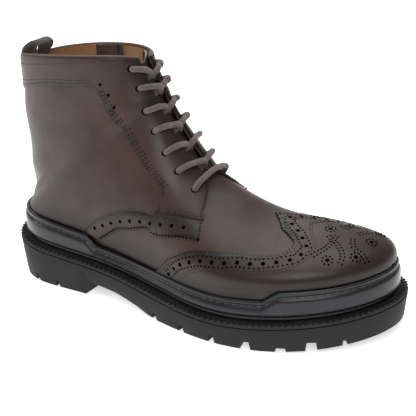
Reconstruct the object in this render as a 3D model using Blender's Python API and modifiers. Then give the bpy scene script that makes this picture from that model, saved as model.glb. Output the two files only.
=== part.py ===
# Brogue boot for the right foot: lace-up ankle boot on a lugged rubber sole.
# +X runs to the toe, +Y to the inner side of the foot, +Z up, floor at zero.
import math

import bmesh
import bpy
import numpy as np
from mathutils import Matrix

# Driving sizes, in metres.
SOLE_LENGTH = 0.305
BALL_WIDTH = 0.1137
LEDGE_HEIGHT = 0.0324
TOE_SPRING = 0.0070
ARCH_RISE = 0.0100
HEEL_LENGTH = 0.0800
SOLE_DRAFT = 0.0022
LUG_DEPTH = 0.0060
LUG_REACH = 0.0130
TREAD_DEPTH = 0.0035
INSTEP_HEIGHT = 0.0960
COLLAR_HEIGHT = 0.1690
COLLAR_RISE_OUTER = 0.0100
COLLAR_RISE_INNER = 0.0030
THROAT_GAP = 0.0130
UPPER_WALL = 0.0020
OVERLAY_THICKNESS = 0.0012
TONGUE_THICKNESS = 0.0022
INSOLE_THICKNESS = 0.0030
WELT_THICKNESS = 0.0030
WELT_TOOTH = 0.0012
WELT_TEETH = 144
RAND_SETBACK = 0.0065
RAND_THICKNESS = 0.0026
RAND_HIGH = 0.0205
WALL_HEIGHT = 0.0215
LACE_DIAMETER = 0.0045
LACE_RISE = 0.0016
LOOP_WIDTH = 0.0160
LOOP_THICKNESS = 0.0016
ZIP_PLACE = 0.0660
ZIP_FOOT = 0.0740
ZIP_SLOT = 0.0060
ZIP_TAPE_WIDTH = 0.0240
ZIP_TAPE_THICKNESS = 0.0009
ZIP_CHAIN_WIDTH = 0.0044
ZIP_CHAIN_THICKNESS = 0.0016
ZIP_OPEN_LENGTH = 0.0180
ZIP_OPEN_WIDTH = 0.0140
SLIDER_LENGTH = 0.0090
SLIDER_STAND = 0.0018
SIDE_PLAY = 0.0004
PIN_RADIUS = 0.00055
EYE_HOLE = 0.00080
EYE_RADIUS = 0.00155
EYE_WIDTH = 0.0028
EAR_WIDTH = 0.0009
EAR_REACH = 0.0016
PULL_LENGTH = 0.0200
PULL_WIDTH = 0.0050
PULL_THICKNESS = 0.0010
CLEARANCE = 0.0003
LOOP_HEIGHT = 0.0140
ZIP_FOOT_HEIGHT = 0.0760
ZIP_DEEP = 0.0100
ZIP_FAR = 0.0700

# The frame's origin lies on the floor, in the middle of the heel's flat face.
HEEL_REST = 0.0400

# Sole outline, heel to toe: share of the length, then each side as a share of the ball width.
SOLE_OUTLINE = (
    # along, outer side, inner side
    (0.010, 0.141, 0.149),
    (0.030, 0.234, 0.240),
    (0.060, 0.309, 0.313),
    (0.100, 0.361, 0.361),
    (0.150, 0.383, 0.373),
    (0.200, 0.384, 0.366),
    (0.270, 0.383, 0.352),
    (0.350, 0.392, 0.346),
    (0.420, 0.418, 0.356),
    (0.500, 0.462, 0.394),
    (0.580, 0.503, 0.443),
    (0.660, 0.520, 0.485),
    (0.720, 0.505, 0.500),
    (0.780, 0.464, 0.502),
    (0.840, 0.397, 0.493),
    (0.900, 0.297, 0.462),
    (0.940, 0.202, 0.415),
    (0.970, 0.103, 0.351),
    (0.990, 0.002, 0.265),
)
TOE_TIP_SIDE = 0.134

# Height of the ledge round the sole, as a share of its height at the heel.
LEDGE_LINE = (
    # along, height
    (0.00, 1.000),
    (0.15, 0.900),
    (0.30, 0.793),
    (0.46, 0.660),
    (0.62, 0.559),
    (0.80, 0.627),
    (0.90, 0.713),
    (1.00, 0.833),
)

# Sections of the foot: each runs from the ridge down to the sole's edge.
FOOT_SECTIONS = (
    # edge: share of the sole edge from toe tip to heel; along: ridge, share of the sole length
    # height: share of the instep height; centre, outer, inner: shares of the ball width
    # round: power of the side curve; crown: power of the drop from the ridge
    # edge, along, height, centre, outer, inner, round, crown
    (0.000, 0.9690, 0.500, 0.134, 0.000, 0.000, 0.80, 1.00),
    (0.020, 0.9665, 0.532, 0.133, 0.000, 0.000, 0.80, 1.00),
    (0.045, 0.9600, 0.566, 0.130, 0.000, 0.000, 0.80, 0.98),
    (0.075, 0.9460, 0.598, 0.124, 0.000, 0.000, 0.80, 0.96),
    (0.110, 0.9230, 0.626, 0.116, 0.000, 0.000, 0.82, 0.92),
    (0.150, 0.8900, 0.649, 0.106, 0.000, 0.000, 0.84, 0.88),
    (0.200, 0.8420, 0.672, 0.094, 0.000, 0.000, 0.86, 0.85),
    (0.250, 0.7900, 0.691, 0.082, 0.000, 0.000, 0.88, 0.82),
    (0.300, 0.7380, 0.715, 0.070, 0.000, 0.000, 0.90, 0.80),
    (0.350, 0.6870, 0.752, 0.056, 0.000, 0.000, 0.90, 0.80),
    (0.400, 0.6360, 0.818, 0.042, 0.000, 0.000, 0.90, 0.82),
    (0.450, 0.5880, 0.900, 0.028, 0.000, 0.000, 0.90, 0.86),
    (0.500, 0.5480, 0.990, 0.016, 0.000, 0.000, 0.92, 0.90),
    (0.550, 0.5210, 1.080, 0.008, 0.352, 0.300, 0.92, 0.94),
    (0.610, 0.4980, 1.175, 0.000, 0.336, 0.299, 0.90, 0.98),
    (0.670, 0.4800, 1.255, 0.000, 0.323, 0.297, 0.88, 1.00),
    (0.730, 0.4660, 1.325, 0.000, 0.313, 0.295, 0.86, 1.00),
    (0.790, 0.4545, 1.385, 0.000, 0.306, 0.292, 0.83, 1.00),
    (0.835, 0.4450, 1.435, 0.000, 0.301, 0.289, 0.80, 1.00),
    (0.873, 0.4375, 1.480, 0.000, 0.296, 0.286, 0.77, 1.00),
    (0.910, 0.4315, 1.518, 0.000, 0.291, 0.283, 0.75, 1.00),
    (0.950, 0.4265, 1.553, 0.000, 0.286, 0.279, 0.74, 1.00),
    (1.000, 0.4220, 1.585, 0.000, 0.281, 0.275, 0.74, 1.00),
)
THROAT_ROW = 12
HEEL_ROW = 22

# Sections of the shaft: each runs from the lacing edge back to the back seam.
SHAFT_SECTIONS = (
    # up: share of the way from the heel row to the collar; back_along: share of the sole length
    # back_up: share of the way up the back seam; outer, inner: shares of the ball width
    # up, back_along, back_up, outer, inner, round
    (0.22, 0.0275, 0.200, 0.275, 0.270, 0.76),
    (0.42, 0.0345, 0.410, 0.272, 0.268, 0.80),
    (0.62, 0.0430, 0.620, 0.275, 0.271, 0.84),
    (0.81, 0.0520, 0.820, 0.285, 0.281, 0.88),
    (1.00, 0.0560, 1.000, 0.298, 0.295, 0.90),
)
COLLAR_ALONG = 0.3915
BACK_HEIGHT_SHARE = 0.953
SIDE_COLUMNS = 7
WALL_COLUMNS = 2
EDGE_COLUMN = 0.10
SWELL = 1.02
OUTLINE_POINTS = 600
SOLE_STATIONS = 44
RISE_ROWS = 3
RISE_POWER = 0.6
GAP_LIMIT = 0.2
HEEL_PASSES = 4
HEEL_REACH = 3.0
HEEL_PULL = 0.6
HEEL_FIRST = 0.25
HEEL_FULL = 0.60
FLAP_THICKNESS = 0.0014
FLAP_WIDTH_SHARE = 0.7
ZIP_BELOW = 0.0040
FLAP_BELOW = 0.0020
HUMP_SHARE = 0.2
# Share of each crossing at its stops; every other pair stands a little higher.
LACE_STOPS = (-0.02, 0.27, 0.50, 0.72, 1.03)
LACE_STAGGER = 0.02
NOTCH_FLARE = 0.25
PIN_LIFT_SHARE = 0.25
NECK_DROP_SHARE = 1.6

BREAST_SHARE = HEEL_LENGTH / SOLE_LENGTH
BREAST_LEAN = 0.012
SPRING_START = 0.74
ARCH_LINE = (
    # along, share of the arch rise
    (BREAST_SHARE, 1.10),
    (0.36, 0.85),
    (0.42, 0.50),
    (0.48, 0.00),
)
NOTCHES = (
    # along the sole, width as a share of the lug reach, depth as a share of the lug depth
    (0.045, 0.28, 0.80),
    (0.110, 0.26, 0.80),
    (0.180, 0.26, 0.80),
    (0.485, 0.34, 0.80),
    (0.570, 0.36, 0.85),
    (0.655, 0.38, 0.90),
    (0.737, 0.56, 1.00),
    (0.812, 0.60, 0.45),
    (0.871, 0.60, 1.00),
    (0.930, 0.30, 0.60),
)
TREAD_POCKETS = (
    # first and last share of the sole length
    (0.055, 0.110),
    (0.140, 0.205),
    (0.505, 0.555),
    (0.585, 0.640),
    (0.670, 0.722),
    (0.752, 0.800),
    (0.828, 0.862),
    (0.885, 0.915),
)
# Top edge of the rand: section, then height as a share of its full height.
RAND_TOP = (
    # row, height
    (0.0, 1.00),
    (1.0, 1.00),
    (2.0, 1.00),
    (3.0, 0.98),
    (4.0, 0.98),
    (5.0, 0.98),
    (6.0, 0.99),
    (6.83, 0.99),
    (7.42, 0.69),
    (8.0, 0.70),
    (9.0, 0.70),
    (10.0, 0.70),
    (11.0, 0.69),
    (12.0, 0.66),
    (13.0, 0.63),
    (14.0, 0.61),
    (15.0, 0.60),
    (15.50, 0.60),
    (15.95, 0.91),
    (17.0, 0.96),
    (18.0, 1.00),
    (19.0, 1.01),
    (20.0, 1.01),
    (21.0, 1.01),
    (22.0, 1.01),
)
# Outlines of the overlays: section row, then place round the section.
FACING = (
    # row, around
    (27.6, 0.100),
    (27.6, 0.985),
    (25.8, 0.985),
    (25.7, 0.725),
    (25.6, 0.590),
    (25.3, 0.490),
    (24.9, 0.390),
    (24.3, 0.355),
    (22.0, 0.330),
    (20.0, 0.372),
    (18.2, 0.408),
    (15.8, 0.438),
    (14.3, 0.463),
    (13.5, 0.475),
    (13.2, 0.600),
    (13.3, 0.655),
    (11.8, 0.505),
    (10.8, 0.405),
    (11.0, 0.350),
    (11.1, 0.288),
    (11.4, 0.188),
    (11.8, 0.112),
    (12.0, 0.100),
)
SIDE_BAND = (
    # row, around
    (15.9, 1.030),
    (15.9, 0.975),
    (15.6, 0.875),
    (14.9, 0.775),
    (14.0, 0.710),
    (13.3, 0.675),
    (11.7, 0.525),
    (10.8, 0.425),
    (10.6, 0.575),
    (11.2, 0.625),
    (12.2, 0.725),
    (13.0, 0.788),
    (13.4, 0.775),
    (14.2, 0.850),
    (14.8, 0.900),
    (15.3, 1.030),
)
WING_EDGE = (
    # row, around
    (8.60, 0.000),
    (7.95, 0.150),
    (7.58, 0.188),
    (7.08, 0.250),
    (6.92, 0.312),
    (7.00, 0.388),
    (7.33, 0.463),
    (7.92, 0.500),
    (8.83, 0.537),
    (10.3, 0.663),
    (11.0, 0.763),
    (11.5, 0.863),
    (12.0, 0.975),
    (12.6, 1.250),
)
TONGUE = (
    # row, around
    (10.6, -0.24),
    (12.0, -0.30),
    (16.0, -0.32),
    (22.0, -0.30),
    (26.5, -0.28),
    (27.6, -0.20),
    (27.6, 0.20),
    (26.5, 0.28),
    (22.0, 0.30),
    (16.0, 0.32),
    (12.0, 0.30),
    (10.6, 0.24),
)
# Holes for the lace, bottom to top: section row, then place round the section.
EYELETS = (
    # row, around
    (11.92, 0.275),
    (13.33, 0.288),
    (14.67, 0.275),
    (16.58, 0.250),
    (19.25, 0.225),
    (22.83, 0.175),
    (25.50, 0.180),
)
# Side view of the pull loop, in shares of its height above the collar.
LOOP_PATH = (
    # out towards the toe, up
    (-0.255, -0.95),
    (-0.215, -0.14),
    (-0.250, 0.14),
    (-0.070, 0.57),
    (0.340, 0.88),
    (0.700, 0.98),
    (1.000, 0.84),
    (0.930, 0.60),
    (0.720, 0.36),
    (0.560, 0.10),
    (0.470, -0.14),
    (0.430, -0.72),
)

LEATHER = (0.050, 0.026, 0.020)
LEATHER_DARK = (0.034, 0.018, 0.015)
LINING = (0.300, 0.150, 0.070)
RUBBER = (0.018, 0.018, 0.019)
RAND_RUBBER = (0.012, 0.013, 0.015)
WELT_RUBBER = (0.060, 0.056, 0.054)
LACE_CLOTH = (0.170, 0.130, 0.120)
ZIP_METAL = (0.300, 0.280, 0.260)
ZIP_CLOTH = (0.020, 0.018, 0.018)


def start_scene():
    # An empty file, one collection for the parts and one for the cutters.
    for thing in list(bpy.data.objects):
        bpy.data.objects.remove(thing, do_unlink=True)
    parts = bpy.data.collections.new("brogue_boot")
    cutters = bpy.data.collections.new("cutters")
    bpy.context.scene.collection.children.link(parts)
    bpy.context.scene.collection.children.link(cutters)
    return parts, cutters


def make_material(name, colour, roughness, metallic=0.0):
    material = bpy.data.materials.new(name)
    material.use_nodes = True
    shader = material.node_tree.nodes["Principled BSDF"]
    shader.inputs["Base Color"].default_value = (*colour, 1.0)
    shader.inputs["Roughness"].default_value = roughness
    shader.inputs["Metallic"].default_value = metallic
    return material


def through(knots, values, at):
    # A smooth curve through the values, one for each knot.
    knots = np.asarray(knots, float)
    values = np.asarray(values, float).reshape(len(knots), -1)
    step = np.diff(knots)[:, None]
    slope = np.diff(values, axis=0) / step
    lean = np.empty_like(values)
    lean[1:-1] = (slope[1:] * step[:-1] + slope[:-1] * step[1:]) / (step[1:] + step[:-1])
    lean[0] = slope[0]
    lean[-1] = slope[-1]
    at = np.atleast_1d(np.asarray(at, float))
    i = np.clip(np.searchsorted(knots, at, side="right") - 1, 0, len(step) - 1)
    h = step[i]
    t = ((at - knots[i])[:, None]) / h
    start = values[i] * (1 + 2 * t) * (1 - t) ** 2 + lean[i] * h * t * (1 - t) ** 2
    end = values[i + 1] * t * t * (3 - 2 * t) + lean[i + 1] * h * t * t * (t - 1)
    return start + end


def sole_sides():
    # The outline as two fine lines, outer and inner, each from the toe tip to the heel's back.
    outer = [(a * SOLE_LENGTH, -o * BALL_WIDTH) for a, o, _ in SOLE_OUTLINE]
    inner = [(a * SOLE_LENGTH, i * BALL_WIDTH) for a, _, i in SOLE_OUTLINE]
    tip = [(SOLE_LENGTH, TOE_TIP_SIDE * BALL_WIDTH)]
    loop = np.array(tip + outer[::-1] + [(0.0, 0.0)] + inner)
    lap = 3
    ring = np.vstack([loop[-lap:], loop, loop[: lap + 1]])
    knots = np.concatenate([[0.0], np.cumsum(np.linalg.norm(np.diff(ring, axis=0), axis=1))])
    heel = lap + 1 + len(outer)
    sides = []
    for first, last in ((lap, heel), (lap + len(loop), heel)):
        at = np.linspace(knots[first], knots[last], OUTLINE_POINTS)
        sides.append(through(knots, ring, at))
    return sides


SIDES = sole_sides()


def inset_side(side, inset):
    # One side of the outline, moved inwards.
    line = SIDES[side]
    run = np.gradient(line, axis=0)
    run /= np.linalg.norm(run, axis=1)[:, None]
    inward = np.stack([run[:, 1], -run[:, 0]], axis=1)
    if side == 1:
        inward = -inward
    return line + inward * inset


def edge_point(side, share, inset):
    # The point at a share of the way from toe tip to heel, along the inset edge.
    line = inset_side(side, inset)
    length = np.concatenate([[0.0], np.cumsum(np.linalg.norm(np.diff(line, axis=0), axis=1))])
    length /= length[-1]
    return np.array([np.interp(share, length, line[:, 0]), np.interp(share, length, line[:, 1])])


def ledge_height(x):
    table = np.array(LEDGE_LINE)
    share = np.clip(x / SOLE_LENGTH, 0.0, 1.0)
    return float(through(table[:, 0], table[:, 1], share)[0, 0]) * LEDGE_HEIGHT


def seat_height(x):
    # Top face of the sole, under welt, upper and insole.
    return ledge_height(x) - WELT_THICKNESS - CLEARANCE


def wall_top(x):
    return ledge_height(x) + WALL_HEIGHT


UPPER_SETBACK = RAND_SETBACK + RAND_THICKNESS + CLEARANCE
HEEL_BACK = edge_point(0, 1.0, UPPER_SETBACK)


def section_rows():
    # One dictionary for each section, toe to collar.
    rows = []
    for edge, along, height, centre, outer, inner, power, crown in FOOT_SECTIONS:
        ridge = np.array([along * SOLE_LENGTH, centre * BALL_WIDTH, height * INSTEP_HEIGHT])
        ends = []
        for side in (0, 1):
            x, y = edge_point(side, edge, UPPER_SETBACK)
            ends.append(np.array([x, y, wall_top(x)]))
        if edge == 0.0:
            ridge = ends[0].copy()
        widths = (outer * BALL_WIDTH, inner * BALL_WIDTH)
        rows.append(dict(ridge=ridge, ends=ends, widths=widths, power=power, crown=crown))
    low = rows[-1]["ridge"]
    top = np.array([COLLAR_ALONG * SOLE_LENGTH, 0.0, COLLAR_HEIGHT])
    back_low = wall_top(HEEL_BACK[0])
    back_high = BACK_HEIGHT_SHARE * COLLAR_HEIGHT
    for up, back_along, back_up, outer, inner, power in SHAFT_SECTIONS:
        ridge = low + (top - low) * up
        end = np.array([back_along * SOLE_LENGTH, 0.0, back_low + (back_high - back_low) * back_up])
        widths = (outer * BALL_WIDTH, inner * BALL_WIDTH)
        rows.append(dict(ridge=ridge, ends=[end, end], widths=widths, power=power, crown=1.0))
    return rows


ROWS = section_rows()
LAST_ROW = len(ROWS) - 1
COLUMNS = [0.0]
COLUMNS += [EDGE_COLUMN + (1 - EDGE_COLUMN) * i / SIDE_COLUMNS for i in range(SIDE_COLUMNS + 1)]
COLUMNS += [1 + (i + 1) / WALL_COLUMNS for i in range(WALL_COLUMNS)]


def section_point(row, side, around):
    # around: 0 at the ridge, EDGE_COLUMN at the lacing edge, 1 at the wall's top, 2 at its foot.
    data = ROWS[row]
    ridge = data["ridge"]
    end = data["ends"][side]
    if around > 1.0:
        foot = seat_height(end[0]) + CLEARANCE
        return np.array([end[0], end[1], end[2] + (foot - end[2]) * (around - 1.0)])
    reach = abs(end[1] - ridge[1])
    width = max(data["widths"][side], SWELL * reach)
    if width == 0.0:
        return ridge.copy()
    end_angle = math.pi - math.asin(min(1.0, (reach / width) ** (1.0 / data["power"])))
    gap_angle = math.asin((0.5 * THROAT_GAP / max(width, THROAT_GAP)) ** (1.0 / data["power"]))
    gap_angle = min(gap_angle, GAP_LIMIT * end_angle)
    if around < EDGE_COLUMN:
        angle = gap_angle * around / EDGE_COLUMN
    else:
        angle = gap_angle + (end_angle - gap_angle) * (around - EDGE_COLUMN) / (1 - EDGE_COLUMN)
    drop = ((1 - math.cos(angle)) / (1 - math.cos(end_angle))) ** data["crown"]
    point = ridge + (end - ridge) * drop
    sign = (-1, 1)[side]
    swing = max(0.0, math.sin(angle))
    point[1] = ridge[1] + sign * width * swing ** data["power"]
    shaft = max(0.0, (row - HEEL_ROW + RISE_ROWS) / (LAST_ROW - HEEL_ROW + RISE_ROWS))
    rise = (COLLAR_RISE_OUTER, COLLAR_RISE_INNER)[side]
    point[2] += rise * shaft * shaft * swing ** RISE_POWER
    return point


def even_out_heel(points, signed):
    # Pull each inner point near the heel's back towards the mean of its neighbours.
    rows = np.arange(len(points))
    reach = np.abs(signed)
    by_row = np.clip(1 - np.abs(rows - HEEL_ROW) / HEEL_REACH, 0, 1) ** 0.5
    by_column = np.clip((reach - HEEL_FIRST) / (HEEL_FULL - HEEL_FIRST), 0, 1) * (reach < 0.999)
    pull = HEEL_PULL * np.outer(by_row, by_column)[1:-1, 1:-1, None]
    for _ in range(HEEL_PASSES):
        mean = (points[:-2, 1:-1] + points[2:, 1:-1] + points[1:-1, :-2] + points[1:-1, 2:]) / 4
        points[1:-1, 1:-1] += pull * (mean - points[1:-1, 1:-1])


def surface_grid():
    # Points and outward directions for every row and for every column, outer side first.
    signed = [-c for c in COLUMNS[:0:-1]] + COLUMNS
    points = np.zeros((len(ROWS), len(signed), 3))
    for r in range(len(ROWS)):
        for c, around in enumerate(signed):
            if r > HEEL_ROW and abs(around) > 1.0:
                around = math.copysign(1.0, around)
            points[r, c] = section_point(r, 0 if around < 0 else 1, abs(around))
    signed = np.array(signed)
    even_out_heel(points, signed)
    down = np.gradient(points, axis=0)
    across = np.gradient(points, axis=1)
    normals = np.cross(across, down)
    for r in range(HEEL_ROW, len(ROWS)):
        for c in range(WALL_COLUMNS + 1):
            normals[r, c] = (-1, 0, 0.12 if c == WALL_COLUMNS else 0)
            normals[r, -1 - c] = normals[r, c]
    normals[0, :] = (1, 0, 0.25)
    length = np.linalg.norm(normals, axis=2)[:, :, None]
    normals = normals / np.maximum(length, 1e-12)
    return signed, points, normals


SIGNED, POINTS, NORMALS = surface_grid()


def on_last(row, around, offset):
    # A point laid on the upper's outer facets, lifted by the offset.
    r = min(max(row, 0.0), LAST_ROW)
    i = min(int(r), LAST_ROW - 1)
    j = int(np.clip(np.searchsorted(SIGNED, around, side="right") - 1, 0, len(SIGNED) - 2))
    a = r - i
    b = (around - SIGNED[j]) / (SIGNED[j + 1] - SIGNED[j])
    if a >= b:
        weights = (1 - a, a - b, b)
        corners = ((i, j), (i + 1, j), (i + 1, j + 1))
    else:
        weights = (1 - b, b - a, a)
        corners = ((i, j), (i, j + 1), (i + 1, j + 1))
    point = sum(w * POINTS[c] for w, c in zip(weights, corners))
    normal = sum(w * NORMALS[c] for w, c in zip(weights, corners))
    return point + offset * normal / np.linalg.norm(normal)


def add_object(name, vertices, faces, material, collection):
    mesh = bpy.data.meshes.new(name)
    shifted = [(x - HEEL_REST, y, z) for x, y, z in vertices]
    mesh.from_pydata(shifted, [], faces)
    mesh.update()
    thing = bpy.data.objects.new(name, mesh)
    if material:
        mesh.materials.append(material)
    collection.objects.link(thing)
    return thing


def tidy(thing, distance=1e-5):
    # Weld what coincides and turn the faces outwards.
    work = bmesh.new()
    work.from_mesh(thing.data)
    bmesh.ops.remove_doubles(work, verts=work.verts, dist=distance)
    bmesh.ops.dissolve_degenerate(work, dist=1e-7, edges=work.edges)
    bmesh.ops.recalc_face_normals(work, faces=work.faces)
    if work.calc_volume(signed=True) < 0:
        bmesh.ops.reverse_faces(work, faces=work.faces)
    work.to_mesh(thing.data)
    work.free()


def smooth(thing, angle=35.0):
    thing.data.shade_smooth()
    thing.data.set_sharp_from_angle(angle=math.radians(angle))


def bake(thing):
    # The evaluated mesh takes the place of the modifiers.
    graph = bpy.context.evaluated_depsgraph_get()
    mesh = bpy.data.meshes.new_from_object(thing.evaluated_get(graph))
    thing.modifiers.clear()
    thing.data = mesh


def cut(thing, cutter, operation):
    modifier = thing.modifiers.new(operation.lower(), "BOOLEAN")
    modifier.operation = operation
    modifier.solver = "EXACT"
    modifier.object = cutter
    cutter.hide_render = True
    cutter.display_type = "WIRE"
    bpy.context.view_layer.update()


def prism(name, outline, low, high, material, collection):
    # An outline in x and z, pushed sideways from low to high.
    count = len(outline)
    vertices = [(x, y, z) for y in (low, high) for x, z in outline]
    faces = [tuple(range(count))[::-1], tuple(range(count, 2 * count))]
    faces += [(i, (i + 1) % count, count + (i + 1) % count, count + i) for i in range(count)]
    thing = add_object(name, vertices, faces, material, collection)
    tidy(thing)
    return thing


def remove_cutter(cutter):
    bpy.data.objects.remove(cutter, do_unlink=True)


def make_upper(parts, material):
    # One hollow wall, open at collar, throat and underneath.
    thing_faces = []
    width = len(SIGNED)
    for r in range(LAST_ROW):
        for c in range(width - 1):
            middle = 0.5 * abs(SIGNED[c] + SIGNED[c + 1])
            if r >= HEEL_ROW and middle > 1.0:
                continue
            if r >= THROAT_ROW and middle < EDGE_COLUMN:
                continue
            a = r * width + c
            thing_faces.append((a, a + 1 + width, a + width))
            thing_faces.append((a, a + 1, a + 1 + width))
    thing = add_object("upper", POINTS.reshape(-1, 3), thing_faces, material, parts)
    work = bmesh.new()
    work.from_mesh(thing.data)
    bmesh.ops.delete(work, geom=[v for v in work.verts if not v.link_faces], context="VERTS")
    work.to_mesh(thing.data)
    work.free()
    tidy(thing)
    work = bmesh.new()
    work.from_mesh(thing.data)
    probe = max(work.faces, key=lambda f: f.calc_center_median().y)
    if probe.normal.y < 0:
        bmesh.ops.reverse_faces(work, faces=work.faces)
    work.to_mesh(thing.data)
    work.free()
    solid = thing.modifiers.new("wall", "SOLIDIFY")
    solid.thickness = UPPER_WALL
    solid.offset = -1.0
    solid.use_even_offset = True
    solid.thickness_clamp = 1.0
    smooth(thing)
    bake(thing)
    return thing


def flat_pattern(name, outline, low, high, parts, cutters, material):
    # A piece cut flat in rows and columns of the last, then laid on the upper.
    rows = len(ROWS)
    wide = len(SIGNED)
    vertices = [(r, c, level) for level in (0.0, 1.0) for r in range(rows) for c in SIGNED]
    layer = rows * wide
    faces = []
    for r in range(rows - 1):
        for c in range(wide - 1):
            a = r * wide + c
            for level in (0, layer):
                b = a + level
                faces.append((b, b + wide, b + wide + 1))
                faces.append((b, b + wide + 1, b + 1))
    for r in range(rows - 1):
        for c in (0, wide - 1):
            a = r * wide + c
            faces.append((a, a + wide, a + wide + layer, a + layer))
    for c in range(wide - 1):
        for r in (0, rows - 1):
            a = r * wide + c
            faces.append((a, a + 1, a + 1 + layer, a + layer))
    mesh = bpy.data.meshes.new(name)
    mesh.from_pydata(vertices, [], faces)
    thing = bpy.data.objects.new(name, mesh)
    mesh.materials.append(material)
    parts.objects.link(thing)
    tidy(thing)
    count = len(outline)
    corners = [(u, v, level) for level in (-0.5, 1.5) for u, v in outline]
    sides = [tuple(range(count))[::-1], tuple(range(count, 2 * count))]
    sides += [(i, (i + 1) % count, count + (i + 1) % count, count + i) for i in range(count)]
    shape = bpy.data.meshes.new(name + "_pattern")
    shape.from_pydata(corners, [], sides)
    cutter = bpy.data.objects.new(name + "_pattern", shape)
    cutters.objects.link(cutter)
    tidy(cutter)
    cut(thing, cutter, "INTERSECT")
    bake(thing)
    for vertex in thing.data.vertices:
        row, around, level = vertex.co
        x, y, z = on_last(row, around, low + (high - low) * level)
        vertex.co = (x - HEEL_REST, y, z)
    tidy(thing, 2e-5)
    smooth(thing)
    bpy.data.objects.remove(cutter)
    return thing


def foot_line(x):
    # Height of the sole's underside: flat heel, arch, flat forefoot, toe spring.
    share = x / SOLE_LENGTH
    if share <= BREAST_SHARE:
        return 0.0
    if share < ARCH_LINE[-1][0]:
        table = np.array(ARCH_LINE)
        return float(np.interp(share, table[:, 0], table[:, 1])) * ARCH_RISE
    lift = min(1.0, max(0.0, (share - SPRING_START) / (1.0 - SPRING_START)))
    return TOE_SPRING * lift * lift


def side_at(side, x, inset):
    # Sideways place of the outline at x; near the ends the inset line is stretched to reach.
    line = inset_side(side, inset)
    share = x / SOLE_LENGTH
    reach = line[-1, 0] + (line[0, 0] - line[-1, 0]) * share
    order = np.argsort(line[:, 0])
    return reach, float(np.interp(reach, line[order, 0], line[order, 1]))


def make_outsole(parts, cutters, material):
    # Stations close up at both ends; the breast of the heel has two stations of its own.
    turns = [math.pi * i / SOLE_STATIONS for i in range(SOLE_STATIONS + 1)]
    ends = [0.5 - 0.5 * math.cos(turn) for turn in turns]
    shares = sorted(ends + [BREAST_SHARE, BREAST_SHARE + BREAST_LEAN])
    rings = []
    for share in shares:
        x = share * SOLE_LENGTH
        ring = []
        for side, level in ((0, "top"), (0, "foot"), (1, "foot"), (1, "top")):
            inset = 0.0 if level == "top" else SOLE_DRAFT
            px, py = side_at(side, x, inset)
            height = seat_height(px) if level == "top" else foot_line(x)
            ring.append((px, py, height))
        rings.append(ring)
    vertices = [p for ring in rings for p in ring]
    faces = [(0, 1, 2, 3), tuple(4 * (len(rings) - 1) + k for k in (3, 2, 1, 0))]
    for i in range(len(rings) - 1):
        for k in range(4):
            a = 4 * i + k
            b = 4 * i + (k + 1) % 4
            faces.append((a, b, b + 4, a + 4))
    sole = add_object("outsole", vertices, faces, material, parts)
    tidy(sole)
    made = []
    for along, wide, deep in NOTCHES:
        for side in (0, 1):
            made.append(notch_cutter(side, along, wide, deep, cutters))
    for first, last in TREAD_POCKETS:
        made.append(pocket_cutter(first, last, cutters))
    for cutter in made:
        cut(sole, cutter, "DIFFERENCE")
        bake(sole)
        remove_cutter(cutter)
    tidy(sole)
    smooth(sole, 30.0)
    return sole


def notch_cutter(side, along, wide, deep, cutters):
    # A wedge that opens downwards, cut in from the sole's edge.
    x = along * SOLE_LENGTH
    px, py = side_at(side, x, 0.0)
    qx, qy = side_at(side, x + 0.001, 0.0)
    run = np.array([qx - px, qy - py, 0.0])
    run /= np.linalg.norm(run)
    sign = (-1, 1)[side]
    out = np.array([-run[1], run[0], 0.0]) * sign
    half_low = 0.5 * wide * LUG_REACH * (1 + NOTCH_FLARE)
    half_high = 0.5 * wide * LUG_REACH * (1 - NOTCH_FLARE)
    base = foot_line(x)
    vertices = []
    for reach in (-LUG_REACH, LUG_REACH):
        for half, z in ((half_low, base - LUG_DEPTH), (half_high, base + deep * LUG_DEPTH)):
            for turn in (-1, 1):
                point = np.array([px, py, z]) + out * reach + run * (turn * half)
                vertices.append(tuple(point))
    faces = [(0, 1, 3, 2), (4, 6, 7, 5), (0, 4, 5, 1), (2, 3, 7, 6), (0, 2, 6, 4), (1, 5, 7, 3)]
    cutter = add_object("notch", vertices, faces, None, cutters)
    tidy(cutter)
    return cutter


def pocket_cutter(first, last, cutters):
    # The hollow between two cross bars of the tread.
    vertices = []
    for share in (first, last):
        x = share * SOLE_LENGTH
        low, high = foot_line(x) - LUG_DEPTH, foot_line(x) + TREAD_DEPTH
        sides = [side_at(side, x, SOLE_DRAFT + LUG_REACH)[1] for side in (0, 1)]
        for y in sides:
            vertices += [(x, y, low), (x, y, high)]
    faces = [(0, 1, 3, 2), (4, 6, 7, 5), (0, 4, 5, 1), (2, 3, 7, 6), (0, 2, 6, 4), (1, 5, 7, 3)]
    cutter = add_object("pocket", vertices, faces, None, cutters)
    tidy(cutter)
    return cutter


def rand_height(row):
    table = np.array(RAND_TOP)
    return float(np.interp(row, table[:, 0], table[:, 1])) * RAND_HIGH


def round_the_foot():
    # Places round the wall, from the toe tip by the outer side to the heel and back.
    outer = [(row, -1) for row, _ in RAND_TOP]
    inner = [(row, 1) for row, _ in RAND_TOP[-2:0:-1]]
    return outer + inner


def wall_place(row, sign):
    # The wall's outer face in plan, and the level direction that points out of it.
    spot = on_last(row, sign * 1.5, 0.0)
    lifted = on_last(row, sign * 1.5, 0.001) - spot
    lifted[2] = 0.0
    return spot[:2], lifted[:2] / np.linalg.norm(lifted[:2])


def closed_band(name, rings, material, parts):
    # A ring of equal cross sections, joined end to end.
    size = len(rings[0])
    vertices = [p for ring in rings for p in ring]
    faces = []
    for i in range(len(rings)):
        j = (i + 1) % len(rings)
        for k in range(size):
            m = (k + 1) % size
            faces.append((size * i + k, size * i + m, size * j + m, size * j + k))
    thing = add_object(name, vertices, faces, material, parts)
    tidy(thing)
    smooth(thing)
    return thing


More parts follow.
